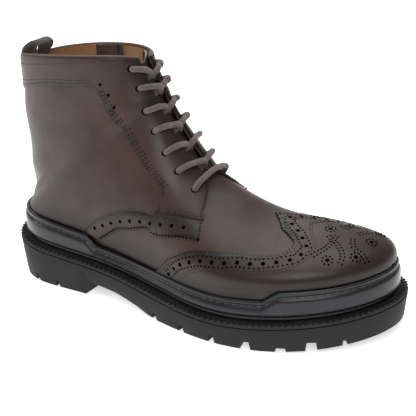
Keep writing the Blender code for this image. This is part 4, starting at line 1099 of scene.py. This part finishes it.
def makeCap():
    edge = cornered(wingEdge, [])
    outer = sideOf(edge, -1)
    inner = sideOf(edge, 1)[::-1]
    back = pinkedEdge(np.vstack([inner[:-1], outer]), capSizes["pinkPitch"], -capSizes["pinkDepth"])
    rimRows = np.linspace(edge[-1][0], 0.0, capSizes["rimSpots"])
    rim = np.stack([rimRows, -randTopAround(rimRows)], axis=1)
    front = rim[::-1] * (1, -1)
    # The tip is one point of the surface, so the outline stops just short of it on both sides.
    short = rim[:, 0] > capSizes["tipGap"]
    outline = np.vstack([back, rim[1:][short[1:]], (front[:-1])[short[::-1][:-1]]])
    low = overlay["low"]
    thing = layPattern("toeCap", outline, low, low + overlay["thick"], [capLeather])
    burnishAndShade(thing, capSizes["burnishAndShade"])
    return settle(thing, "cap_leather", "toe_cap")


makeCap()

# Facings, collar band and side bands.


def openForZip(thing):
    work = bmesh.new()
    work.from_mesh(thing.data)
    slotCut(work)
    work.to_mesh(thing.data)
    work.free()


def makeFacing(label, sign, *nodes):
    low, high = overlay["low"], overlay["low"] + overlay["thick"]
    outline = sideOf(cornered(clipTop(facingShape), facingSizes["corners"]), sign)
    thing = layPattern("facing" + label, outline, low, high, [upperLeather])
    if sign > 0:
        openForZip(thing)
    burnishAndShade(thing, facingSizes["burnishAndShade"])
    return settle(thing, "upper_leather", *nodes)


def makeSideBand(label, sign, node):
    low, high = overlay["low"], overlay["low"] + overlay["thick"]
    turn = facingSizes["bandTurn"]
    upperLine = sideOf(smoothLine(sideBandShape[: turn + 1]), sign)
    lower = sideOf(smoothLine(sideBandShape[turn:]), sign)
    pinked = pinkedEdge(lower, capSizes["pinkPitch"], sign * capSizes["pinkDepth"])
    thing = layPattern("sideBand" + label, np.vstack([upperLine[:-1], pinked]), low, high, [capLeather])
    burnishAndShade(thing, facingSizes["bandBurnishAndShade"])
    return settle(thing, "cap_leather", node)


makeFacing("Outer", -1, "facing_outer")
makeSideBand("Outer", -1, "side_band_outer")
makeFacing("Inner", 1, "facing_inner", "collar_band_inner")
makeSideBand("Inner", 1, "side_band_inner")
print("overlays made")


tongueSizes = dict(thick=0.0022, cell=0.35, corners=(0, 5, 6, 11))


def makeTongue():
    outline = cornered(clipTop(tongueShape), tongueSizes["corners"])
    back = -(shell["wall"] + 3 * shell["clearance"])
    low = back - tongueSizes["thick"]
    thing = layPattern("tongueLeather", outline, low, back, [upperLeather], tongueSizes["cell"])
    burnishAndShade(thing)
    return settle(thing, "upper_leather", "tongue")


makeTongue()
print("tongue made")

# Rand: rubber wall round the foot with a rolled and sewn top.

randSizes = dict(
    spots=400, footAround=1.5, step=0.0016, reach=0.004, lift=0.0004, sharp=60.0,
    stitchPitch=0.0055, stitch=(0.0036, 0.0007, 0.0007), stitchOut=0.80, stitchDown=0.185)


def roundTheFoot(step):
    # Rows and places round the wall, from the toe tip by the outer side to the heel and back.
    spots, around = randSizes["spots"], randSizes["footAround"]
    rows = np.linspace(0, heelRow, spots)
    rows = np.concatenate([rows, rows[::-1][1:]])
    sides = np.repeat((-around, around), (spots, spots - 1))
    place = skin(rows, sides)[0]
    length = runLength(place)
    at = np.linspace(0, length[-1], max(8, round(length[-1] / step)), endpoint=False)
    even = np.column_stack([np.interp(at, length, place[:, k]) for k in range(3)])
    return np.interp(at, length, rows), even


def randHeight(rows):
    table = np.array(randTop)
    return np.interp(rows, table[:, 0], table[:, 1]) * shell["randHigh"]


def roundedLoop(points, times=2):
    # Corner cutting on a closed loop.
    for _ in range(times):
        ahead = np.roll(points, -1, axis=0)
        points = np.stack([0.75 * points + 0.25 * ahead, 0.25 * points + 0.75 * ahead], axis=1)
        points = points.reshape(-1, 2)
    return points


def wallSpots(step):
    # Rows, places and level outward directions round the wall.
    rows, place = roundTheFoot(step)
    reach = max(1, round(randSizes["reach"] / step))
    run = np.roll(place, -reach, axis=0) - np.roll(place, reach, axis=0)
    out = np.column_stack([run[:, 1], -run[:, 0], np.zeros(len(run))])
    out /= np.linalg.norm(out, axis=1)[:, None]
    if np.sum(out * (place - place.mean(axis=0))) < 0:
        out = -out
    return rows, place, out


def randProfile(height):
    t, high = shell["randThick"], shell["randHigh"]
    return np.array([
        (0.0, 0.0), (0.75 * t, 0.0), (0.55 * t, 0.09 * high), (0.60 * t, 0.12 * high),
        (1.42 * t, 0.17 * high), (1.58 * t, 0.30 * high), (1.58 * t, height - 0.38 * high),
        (1.30 * t, height - 0.25 * high), (0.78 * t, height - 0.21 * high), (0.74 * t, height - 0.16 * high),
        (0.98 * t, height - 0.12 * high), (1.05 * t, height - 0.05 * high),
        (0.70 * t, height), (0.0, height)])


def closedBand(name, rings, materials):
    count, size = len(rings), len(rings[0])
    faces = []
    for i in range(count):
        j = (i + 1) % count
        for k in range(size):
            m = (k + 1) % size
            faces.append((size * i + k, size * i + m, size * j + m, size * j + k))
    thing = makeObject(name, np.vstack(rings), faces, materials)
    faceOutwards(thing)
    return thing


def wallLine(step):
    # As wallSpots, with the ledge's height under each spot and the rand's height there.
    rows, place, out = wallSpots(step)
    ground = ledgeHeight(place[:, 0] + sole["heelRest"]) + randSizes["lift"]
    return place, out, ground, randHeight(rows)


def makeRand():
    rings = []
    for spot, away, ground, height in zip(*wallLine(randSizes["step"])):
        loop = roundedLoop(randProfile(height))
        push = shell["clearance"] + loop[:, :1]
        rings.append(np.hstack([spot[:2] + away[:2] * push, ground + loop[:, 1:]]))
    thing = closedBand("randWall", rings, [randRubber])
    thing.data.set_sharp_from_angle(angle=math.radians(randSizes["sharp"]))
    settle(thing, "rand_rubber", "rand")


def sewRand():
    place, out, ground, heights = wallLine(randSizes["stitchPitch"])
    threads = place + out * (shell["clearance"] + randSizes["stitchOut"] * shell["randThick"])
    threads[:, 2] = ground + heights - randSizes["stitchDown"] * shell["randHigh"]
    run = np.roll(threads, -1, axis=0) - np.roll(threads, 1, axis=0)
    run /= np.linalg.norm(run, axis=1)[:, None]
    spots = (threads, run, out)
    repeatPiece("randStitches", spots, stitchPiece, randSizes["stitch"], 0.0, randThread, "rand_rubber")


makeRand()
sewRand()
print("rand made")

# Ledge: a flat strip with ribs round its edge.

weltSizes = dict(
    step=0.0022, inset=0.0006, sink=0.0009, rise=0.0003, round=0.0004, roundShare=0.03, sharp=40.0,
    ribPitch=0.0043, rib=(0.0027, 0.0042, 0.0011), ribLift=0.0004,
    bumpPitch=0.0024, bump=(0.0013, 0.0013, 0.0008), bumpInset=0.0012, bumpLift=0.0001)


def soleRing(step, inset):
    outer, inner = insetSide(0, inset), insetSide(1, inset)[::-1][1:-1]
    line = np.vstack([outer, inner, outer[:1]])
    length = runLength(line)
    at = np.linspace(0, length[-1], round(length[-1] / step) + 1)[:-1]
    return np.stack([np.interp(at, length, line[:, k]) for k in (0, 1)], axis=1)


def ringSpots(step, inset, drop):
    # Place, run and upward direction of spots round the ledge.
    ring = soleRing(step, inset)
    run = np.roll(ring, -1, axis=0) - np.roll(ring, 1, axis=0)
    run /= np.linalg.norm(run, axis=1)[:, None]
    high = ledgeHeight(ring[:, 0]) - drop
    slope = (ledgeHeight(ring[:, 0] + 0.001) - ledgeHeight(ring[:, 0] - 0.001)) / 0.002
    place = np.column_stack([ring[:, 0] - sole["heelRest"], ring[:, 1], high])
    along = np.column_stack([run, slope * run[:, 0]])
    along /= np.linalg.norm(along, axis=1)[:, None]
    up = np.column_stack([-slope, np.zeros(len(ring)), np.ones(len(ring))])
    up /= np.linalg.norm(up, axis=1)[:, None]
    return place, along, up


def outerEdge(inner, out):
    # For each spot at the rand, the sole's edge straight out from it.
    ring = soleRing(weltSizes["step"], weltSizes["inset"])
    found = []
    for point, away in zip(inner, out[:, :2]):
        gap = ring - point
        off = np.abs(gap @ np.array([-away[1], away[0]]))
        off[gap @ away <= 0] = 1.0
        found.append(ring[np.argmin(off)])
    return sum(np.roll(found, k, axis=0) for k in (-1, 0, 1)) / 3


def makeWelt():
    _, place, out = wallSpots(weltSizes["step"])
    inner = place[:, :2] + out[:, :2] * shell["clearance"] + (sole["heelRest"], 0.0)
    outer = outerEdge(inner, out)
    sink, share = weltSizes["sink"], weltSizes["roundShare"]
    rings = []
    for near, far in zip(inner, outer):
        high, edge = ledgeHeight([near[0], far[0]])
        profile = (
            (near, high - shell["welt"] + weltSizes["rise"]), (far, edge - shell["welt"] + weltSizes["rise"]),
            (far, edge - sink - weltSizes["round"]), ((1 - share) * far + share * near, edge - sink),
            (near, high - sink))
        rings.append(np.array([(x - sole["heelRest"], y, z) for (x, y), z in profile]))
    thing = closedBand("weltStrip", rings, [weltRubber])
    thing.data.set_sharp_from_angle(angle=math.radians(weltSizes["sharp"]))
    settle(thing, "welt_rubber", "welt")


def makeWeltRelief():
    sink = weltSizes["sink"]
    length, width, height = weltSizes["rib"]
    ribs = ringSpots(weltSizes["ribPitch"], 0.5 * width, sink - 0.5 * height + weltSizes["ribLift"])
    repeatPiece("weltRibs", ribs, ribPiece, (length, width, height), 0.0, weltRubber, "welt_rubber")
    bumps = ringSpots(weltSizes["bumpPitch"], width + weltSizes["bumpInset"], sink - weltSizes["bumpLift"])
    repeatPiece("weltBumps", bumps, discPiece, weltSizes["bump"], 0.0, weltRubber, "welt_rubber")


makeWelt()
makeWeltRelief()


def copySolid(name, node, paint):
    # A copy of a solid, with its own material.
    thing = bpy.data.objects.new(name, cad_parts[node].data.copy())
    bpy.context.scene.collection.objects.link(thing)
    thing.data.materials.clear()
    thing.data.materials.append(paint)
    return thing


def softenEdges(thing, width, join, flat, bend, sharp):
    # Flat facets are joined, then edges that bend more than an angle get a small round.
    work = bmesh.new()
    work.from_mesh(thing.data)
    bmesh.ops.remove_doubles(work, verts=work.verts, dist=join)
    bmesh.ops.dissolve_limit(work, angle_limit=math.radians(flat), verts=work.verts, edges=work.edges)
    work.to_mesh(thing.data)
    work.free()
    soft = thing.modifiers.new("soft", "BEVEL")
    soft.width = width
    soft.segments = 2
    soft.limit_method = "ANGLE"
    soft.angle_limit = math.radians(bend)
    bake(thing)
    thing.data.shade_smooth()
    thing.data.set_sharp_from_angle(angle=math.radians(sharp))


def makeOutsole():
    thing = copySolid("lugSole", "outsole", soleRubber)
    if "custom_normal" in thing.data.attributes:
        thing.data.attributes.remove(thing.data.attributes["custom_normal"])
    softenEdges(thing, 0.0005, join=1e-5, flat=1.0, bend=35.0, sharp=32.0)
    return settle(thing, "sole_rubber", "outsole")


makeOutsole()
print("sole made")

# Laces: from each hole over the gap, then under the other flap to the next hole up.

onLeather = overlay["low"] + overlay["thick"]
laceSizes = dict(
    radius=0.00205, sides=14, step=0.0011, rest=0.0016, weavePitch=0.004, weaveTurns=3.0,
    under=-0.0034, hole=0.0004, humpPlace=0.60, humpWidth=0.12, over=0.0022, below=-0.0008)


def tubeFaces(count, sides):
    # Faces of rings in a row, closed at both ends.
    faces = []
    for i in range(count - 1):
        for k in range(sides):
            m = (k + 1) % sides
            faces.append((sides * i + k, sides * i + m, sides * (i + 1) + m, sides * (i + 1) + k))
    faces.append(tuple(range(sides))[::-1])
    faces.append(tuple(range(sides * (count - 1), sides * count)))
    return faces


def sweep(name, path, radius, sides, materials):
    # A round cord along a path, with its own UV map for the weave.
    path = np.array(path)
    run = np.gradient(path, axis=0)
    run /= np.linalg.norm(run, axis=1)[:, None]
    side = np.cross(run[0], (0, 0, 1.0))
    side /= np.linalg.norm(side)
    rings, turns = [], 2 * np.pi * np.arange(sides) / sides
    for point, ahead in zip(path, run):
        side = side - ahead * (side @ ahead)
        side /= np.linalg.norm(side)
        up = np.cross(side, ahead)
        rings.append(point + radius * (np.cos(turns)[:, None] * side + np.sin(turns)[:, None] * up))
    thing = makeObject(name, np.vstack(rings), tubeFaces(len(rings), sides), materials)
    length = runLength(path)
    uv = thing.data.uv_layers.new(name="weave")
    for loop in thing.data.loops:
        ring, turn = divmod(loop.vertex_index, sides)
        across = turn / sides * laceSizes["weaveTurns"]
        uv.data[loop.index].uv = (length[ring] / laceSizes["weavePitch"], across)
    return thing


def laceRoute(start, finish, sign):
    # Out of a hole, over the flap's edge, then down through the gap and under the other flap.
    over = onLeather + laceSizes["radius"] + laceSizes["rest"] * 0.4
    row, around = start
    endRow, endAround = finish
    stops = (
        (-around, laceSizes["under"]), (-0.97 * around, laceSizes["hole"]), (-0.86 * around, over),
        (-0.55 * around, over + 0.0004),
        (-0.13, over - 0.0002), (-0.06, 0.0026), (0.0, 0.0004), (0.05, -0.0022), (0.09, -0.0042),
        (0.14, -0.0050), (0.20, -0.0050))
    spots = []
    for place, lift in stops:
        share = (place + around) / (around + endAround)
        spots.append(skin(row + (endRow - row) * share, sign * place, lift)[0][0])
    spots = np.array(spots)
    length = runLength(spots)
    return through(length, spots, np.arange(0, length[-1], laceSizes["step"]))


def laceBar(hole):
    # The first stretch of lace, straight across between the two lowest holes.
    row, around = hole
    over = onLeather + laceSizes["radius"] + laceSizes["rest"]
    half = [(1.0, laceSizes["under"]), (0.97, laceSizes["hole"]), (0.85, over), (0.5, over), (0.2, over)]
    stops = [(-place, lift) for place, lift in half] + half[::-1]
    spots = np.array([skin(row, place * around, lift)[0][0] for place, lift in stops])
    length = runLength(spots)
    return through(length, spots, np.arange(0, length[-1], laceSizes["step"]))


def makeLaces():
    routes = [laceBar(eyelets[0])]
    for i in range(len(eyelets) - 1):
        for sign in (1, -1):
            route = laceRoute(eyelets[i + 1], eyelets[i], sign)
            hump = laceSizes["over"] if (i + (sign > 0)) % 2 else laceSizes["below"]
            apart = (np.linspace(0, 1, len(route)) - laceSizes["humpPlace"]) / laceSizes["humpWidth"]
            middle = np.exp(-(apart ** 2))
            away = skin(0.5 * (eyelets[i][0] + eyelets[i + 1][0]), 0.0)[1][0]
            routes.append(route + hump * middle[:, None] * away)
    strands = [sweep("lace", r, laceSizes["radius"], laceSizes["sides"], [laceCloth]) for r in routes]
    first = strands[0]
    with bpy.context.temp_override(
            active_object=first, object=first, selected_objects=strands, selected_editable_objects=strands):
        bpy.ops.object.join()
    first.name = "shoeLace"
    faceOutwardsOnly(first)
    return settle(first, "lace_cloth", "laces")


def faceOutwardsOnly(thing):
    work = bmesh.new()
    work.from_mesh(thing.data)
    bmesh.ops.recalc_face_normals(work, faces=work.faces)
    work.to_mesh(thing.data)
    work.free()


makeLaces()
print("laces made")

# Pull loop at the back of the collar.

loopSizes = dict(
    width=0.016, thick=0.0017, height=0.014, spots=90, seamShare=0.78, seamFirst=0.003, seamEnd=0.9,
    seamPitch=0.0028, stitch=(0.0021, 0.0005, 0.0004))
loopProfile = (
    # through the strap, across it
    (-1, -0.88), (-0.75, -1), (0.75, -1), (1, -0.88), (1, -0.3), (1, 0.3),
    (1, 0.88), (0.75, 1), (-0.75, 1), (-1, 0.88), (-1, 0.3), (-1, -0.3))


def loopLine():
    # Side view of the strap: places, run and the direction out of its face.
    top = skin(lastRow, 1.0)[0][0]
    path = np.array(loopPath) * loopSizes["height"] + (top[0], top[2])
    fine = through(np.arange(len(path)), path, np.linspace(0, len(path) - 1, loopSizes["spots"]))
    run = np.gradient(fine, axis=0)
    run /= np.linalg.norm(run, axis=1)[:, None]
    return fine, run, np.stack([-run[:, 1], run[:, 0]], axis=1)


def makeLoop():
    half, wide = 0.5 * loopSizes["thick"], 0.5 * loopSizes["width"]
    fine, _, side = loopLine()
    vertices = []
    for point, away in zip(fine, side):
        for a, b in loopProfile:
            vertices.append((point[0] + a * half * away[0], b * wide, point[1] + a * half * away[1]))
    thing = makeObject("heelLoop", vertices, tubeFaces(len(fine), len(loopProfile)), [loopLeather])
    faceOutwards(thing)
    thing.data.set_sharp_from_angle(angle=math.radians(55))
    settle(thing, "loop_leather", "pull_loop")


def sewLoop():
    half, wide = 0.5 * loopSizes["thick"], 0.5 * loopSizes["width"]
    lines = loopLine()
    length = runLength(lines[0])
    at = np.arange(loopSizes["seamFirst"], length[-1] * loopSizes["seamEnd"], loopSizes["seamPitch"])
    groups = []
    for edge in (-loopSizes["seamShare"], loopSizes["seamShare"]):
        place, along, away = (
            np.column_stack([np.interp(at, length, line[:, 0]), 0 * at, np.interp(at, length, line[:, 1])])
            for line in lines)
        place[:, 1] = edge * wide
        groups.append((place + away * half, along, away))
    spots = joinSpots(groups)
    repeatPiece("loopStitches", spots, stitchPiece, loopSizes["stitch"], 0.0, threadBrown, "loop_leather")


loopLeather = cloth("loopLeather", (0.060, 0.034, 0.028), (0.030, 0.017, 0.014), 1400.0, 0.35)
makeLoop()
sewLoop()

# Zip: CAD tape, flap, slider and pull keep their shape; the teeth are set one by one.


def dressNode(node, paint, softness=0.0, body="boot"):
    # A plain CAD piece with its own material and, where asked, softened edges.
    thing = copySolid(node.replace("_", " ").title().replace(" ", ""), node, paint)
    if softness:
        softenEdges(thing, softness, join=1e-6, flat=2.0, bend=30.0, sharp=40.0)
    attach(thing, body)
    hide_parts(node)


def makeTeeth():
    lowest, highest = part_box("zip_teeth")
    heights = np.arange(lowest.z + 0.001, highest.z, zipSizes["toothPitch"] * 0.5)
    middle = zipLine(heights)
    corners = np.array([v.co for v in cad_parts["zip_teeth"].data.vertices])
    depth = []
    for x, z in zip(middle, heights):
        near = np.argsort((corners[:, 0] - x) ** 2 + (corners[:, 2] - z) ** 2)[:4]
        depth.append(corners[near, 1].max())
    count = len(heights)
    side = np.where(np.arange(count) % 2 == 0, 1.0, -1.0) * zipSizes["toothShift"]
    place = np.column_stack([middle + side, np.array(depth) - zipSizes["toothShift"], heights])
    spots = (place, np.tile((1.0, 0, 0), (count, 1)), np.tile((0, 1.0, 0), (count, 1)))
    teeth = repeatPiece("zipTeeth", spots, ribPiece, zipSizes["tooth"], 0.0, zipMetal, "zip_metal")
    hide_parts("zip_teeth")


dressNode("zip_tape", tapeCloth)
dressNode("zip_flap", insideLeather)
dressNode("insole", liningLeather)
dressNode("zip_slider", zipMetal, 0.00012)
dressNode("zip_pull", zipMetal, 0.00012, "pull")
makeTeeth()
print("zip made")

# Brogue holes and seams, given on the outer side and mirrored to the inner one.

holeSizes = dict(
    big=0.0027, small=0.00125, high=0.0011, pitch=0.0088, smallPitch=0.0030, beside=0.0031, lace=0.0040,
    bandShare=0.9, facingShare=0.8, pinShare=0.6)
notchShadowSizes = dict(size=(0.0017, 0.0017, 0.0008), aside=0.0004, lift=0.0006)

wingHoles = (
    (11.75, 1.10), (11.45, 0.965), (11.0, 0.863), (10.6, 0.80), (10.17, 0.738), (9.75, 0.705), (9.33, 0.675),
    (8.67, 0.613), (8.25, 0.600), (7.83, 0.588), (7.5, 0.560), (7.17, 0.537), (6.80, 0.50), (6.50, 0.463),
    (6.42, 0.390), (6.42, 0.312), (6.72, 0.240), (7.08, 0.175), (7.45, 0.135), (7.80, 0.085), (8.0, 0.0))
wingSeam = (
    (11.5, 1.263), (10.9, 0.98), (10.08, 0.812), (8.92, 0.725), (7.83, 0.675), (7.0, 0.638), (6.5, 0.55),
    (6.17, 0.425), (6.17, 0.300), (6.42, 0.213), (6.83, 0.125), (7.1, 0.0))
bandHoles = (
    (15.67, 0.95), (15.25, 0.888), (14.67, 0.825), (14.0, 0.775), (13.1, 0.715), (12.25, 0.638),
    (11.42, 0.562))
facingHoles = ((24.83, 0.338), (23.75, 0.312), (22.5, 0.300))


def mirroredSpots(line, pitch, aside=0.0):
    groups = []
    for sign in (-1, 1):
        spots = walk(sideOf(line, sign), pitch)
        if aside:
            spots = stepAside(spots, sign * aside)
        groups.append(directions(spots))
    return joinSpots(groups)


def evenLine(line):
    return smoothLine(line, 6)


def holesAt(name, spots, size, slotName):
    # The hole floors take the near-black painted shade.
    repeatPiece(name, spots, holePiece, (size, size, holeSizes["high"]), onLeather, holeShade, slotName)


def spotsAt(points):
    groups = []
    for sign in (-1, 1):
        spots = sideOf(points, sign)
        place, out = skin(spots[:, 0], spots[:, 1])
        run = np.tile((1.0, 0, 0), (len(spots), 1))
        groups.append((place, run, out))
    return joinSpots(groups)


def seam(name, line, aside, slotName, pitch=0.0027):
    spots = mirroredSpots(evenLine(line), pitch, aside)
    repeatPiece(name, spots, stitchPiece, (0.0020, 0.00055, 0.00045), onLeather, threadBrown, slotName)


# Big holes along the wing, the side band and the facing, with small ones beside them.
wing = evenLine(wingHoles)
holesAt("wingBigHoles", mirroredSpots(wing, holeSizes["pitch"]), holeSizes["big"], "cap_leather")
for k, aside in enumerate((holeSizes["beside"], -holeSizes["beside"])):
    spots = mirroredSpots(wing, holeSizes["smallPitch"], aside)
    holesAt(f"wingSmallHoles{k}", spots, holeSizes["small"], "cap_leather")
spots = mirroredSpots(evenLine(bandHoles), holeSizes["pitch"])
holesAt("bandBigHoles", spots, holeSizes["big"] * holeSizes["bandShare"], "cap_leather")
holesAt("facingBigHoles", spotsAt(facingHoles), holeSizes["big"] * holeSizes["facingShare"], "upper_leather")
facingRear, facingLow, facingBottom = facingShape[7:14], facingShape[15:18], facingShape[17:22]
for k, aside in enumerate((-0.0022, -0.0050)):
    spots = mirroredSpots(evenLine(facingRear), holeSizes["smallPitch"], aside)
    holesAt(f"facingSmallHoles{k}", spots, holeSizes["small"] * holeSizes["pinShare"], "upper_leather")

# Painted shadow: dark spots in the notches along the pinked edges.
for name, line in (("wingNotches", wingEdge), ("bandNotches", sideBandShape[8:])):
    spots = mirroredSpots(evenLine(line), capSizes["pinkPitch"], notchShadowSizes["aside"])
    repeatPiece(name, spots, holePiece, notchShadowSizes["size"], notchShadowSizes["lift"], holeShade, "cap_leather")

# Seams: double rows beside the wing, single rows round the facings and the collar band.
collarLow = [(25.9, 0.97), (25.9, 0.85), (25.85, 0.725), (25.78, 0.59), (25.5, 0.47), (25.15, 0.38)]
collarSecond = [(row + 0.16, around) for row, around in collarLow]
collarTop = [(26.65, around) for around in (0.13, 0.3, 0.5, 0.7, 0.97)]
facingFront = [(row, 0.118) for row in np.linspace(12.6, 26.8, 12)]
for name, line, aside in (
    ("wingSeam0", wingSeam, 0.0),
    ("wingSeam1", wingSeam, 0.0018),
    ("wingEdgeSeam0", wingEdge, -0.0016),
):
    seam(name, line, aside, "cap_leather", pitch=0.0024)
for name, line, aside, slotName in (
    ("bandUpperSeam", sideBandShape[:8], -0.0015, "cap_leather"),
    ("bandLowerSeam", sideBandShape[8:], -0.0015, "cap_leather"),
    ("facingRearSeam", facingRear, -0.0036, "upper_leather"),
    ("facingLowSeam", facingLow, -0.0014, "upper_leather"),
    ("facingLowSeam2", facingLow, -0.0032, "upper_leather"),
    ("facingFrontSeam", facingFront, 0.0, "upper_leather"),
    ("facingBottomSeam", facingBottom, -0.0014, "upper_leather"),
    ("collarSeam", collarLow, 0.0, "upper_leather"),
    ("collarSeam2", collarSecond, 0.0, "upper_leather"),
    ("collarTopSeam", collarTop, 0.0, "upper_leather"),
):
    seam(name, line, aside, slotName)

rosettes = (
    # row, around, small holes, radius
    (5.33, -0.45, 8, 0.0034),
    (5.33, 0.45, 8, 0.0034),
    (4.08, -0.35, 8, 0.0034),
    (4.08, 0.35, 8, 0.0034),
    (3.92, 0.0, 9, 0.0036),
    (6.17, 0.0, 9, 0.0036),
)
scrolls = (
    ((5.9, 0.12), (5.2, 0.22), (4.7, 0.36), (4.6, 0.50)),
    ((4.9, 0.06), (4.5, 0.18), (3.6, 0.28), (3.1, 0.42)),
    ((5.6, 0.10), (5.6, 0.28), (5.9, 0.42)),
)


def holeRing(row, around, count, radius):
    # Small holes in a circle, each with its run and outward direction.
    place, out = (v[0] for v in skin(row, around))
    u = np.cross(out, (0, 1.0, 0))
    u /= np.linalg.norm(u)
    v = np.cross(out, u)
    turns = [2 * math.pi * i / count for i in range(count)]
    return [(place + radius * (math.cos(a) * u + math.sin(a) * v), u, out) for a in turns]


def medallion():
    # Rosettes and curved rows of small holes on the toe, on the middle line and to both sides.
    place, out = skin([r[0] for r in rosettes], [r[1] for r in rosettes])
    run = np.tile((1.0, 0, 0), (len(rosettes), 1))
    holesAt("medallionBig", (place, run, out), holeSizes["big"], "cap_leather")
    small = []
    for rosette in rosettes:
        small.extend(holeRing(*rosette))
    for line in scrolls:
        for aside in (0.0, 0.0026):
            small.extend(zip(*mirroredSpots(smoothLine(line), 0.0027, aside)))
    spots = tuple(np.array([s[k] for s in small]) for k in range(3))
    holesAt("medallionSmall", spots, holeSizes["small"], "cap_leather")


medallion()

# Lace holes: punched rounds under the laces, their floors near-black as painted shade.
holesAt("laceHoles", spotsAt(eyelets), holeSizes["lace"], "upper_leather")
print("holes and seams made")

collarSizes = dict(spots=160, radius=0.0011, sides=8, sink=0.3, rise=0.0001)


def makeCollarEdge():
    # Folded edge of the collar, a light line along its top.
    count = collarSizes["spots"]
    for sign in (-1, 1):
        around = np.linspace(0.105, 1.0, count) * sign
        points = skin(np.full(count, float(lastRow)), around, -collarSizes["sink"] * shell["wall"])[0]
        points[:, 2] += collarSizes["rise"]
        thing = sweep("collarEdge", points, collarSizes["radius"], collarSizes["sides"], [edgeLeather])
        faceOutwardsOnly(thing)
        settle(thing, "upper_leather")


makeCollarEdge()

# Stage, light and camera.

stageSizes = dict(
    floor=3.0, below=0.0005, floorGlow=0.6, glow=0.38, target=(0.12, 0.0, 0.07),
    lens=90.55, sensor=36.0, roll=3.045, azimuth=33.877, elevation=23.108,
    camera=(0.49840, -0.55655, 0.35429))
lamps = (
    # name, place, size, power: most of the light comes from above
    ("top", (0.10, 0.10, 1.10), 1.0, 7.0),
    ("key", (0.55, -0.70, 0.80), 0.5, 3.5),
    ("back", (-0.35, 0.65, 0.60), 0.5, 2.5),
    ("side", (-0.75, -0.45, 0.40), 0.4, 1.6),
)


def makeFloor():
    paint = plain("floorPaint", (0.98, 0.98, 0.98), 0.9)
    # A faint glow of its own keeps the far floor as white as the near one.
    shader = paint.node_tree.nodes["Principled BSDF"]
    shader.inputs["Emission Color"].default_value = (1, 1, 1, 1)
    shader.inputs["Emission Strength"].default_value = stageSizes["floorGlow"]
    far, low = stageSizes["floor"], -stageSizes["below"]
    corners = [(-far, -far, low), (far, -far, low), (far, far, low), (-far, far, low)]
    makeObject("floor", corners, [(0, 1, 2, 3)], [paint], smooth=False)


def makeLight():
    world = bpy.data.worlds.new("studio")
    world.use_nodes = True
    nodes, links = world.node_tree.nodes, world.node_tree.links
    background = nodes["Background"]
    background.inputs["Color"].default_value = (1.0, 1.0, 1.0, 1)
    # White behind the boot, and a weaker glow on it.
    seen = nodes.new("ShaderNodeLightPath").outputs["Is Camera Ray"]
    links.new(spread(nodes, links, seen, 0, 1, stageSizes["glow"], 1.0), background.inputs["Strength"])
    bpy.context.scene.world = world
    target = Vector(stageSizes["target"])
    for name, place, size, power in lamps:
        light = bpy.data.lights.new(name, "AREA")
        light.energy, light.size = power, size
        lamp = bpy.data.objects.new(name, light)
        turn = (target - Vector(place)).to_track_quat("-Z", "Y").to_matrix().to_4x4()
        lamp.matrix_world = Matrix.Translation(place) @ turn
        bpy.context.scene.collection.objects.link(lamp)


def makeCamera():
    data = bpy.data.cameras.new("camera")
    data.lens, data.sensor_width = stageSizes["lens"], stageSizes["sensor"]
    data.clip_start = 0.01
    thing = bpy.data.objects.new("camera", data)
    a, e, r = (math.radians(stageSizes[k]) for k in ("azimuth", "elevation", "roll"))
    back = Vector((math.sin(a) * math.cos(e), -math.cos(a) * math.cos(e), math.sin(e)))
    right = Vector((math.cos(a), math.sin(a), 0))
    up = back.cross(right)
    turnedRight = math.cos(r) * right - math.sin(r) * up
    turnedUp = math.sin(r) * right + math.cos(r) * up
    turn = Matrix((turnedRight, turnedUp, back)).transposed().to_4x4()
    thing.matrix_world = Matrix.Translation(stageSizes["camera"]) @ turn
    bpy.context.scene.collection.objects.link(thing)
    bpy.context.scene.camera = thing


makeFloor()
makeLight()
makeCamera()
bpy.context.scene.view_settings.view_transform = "Standard"
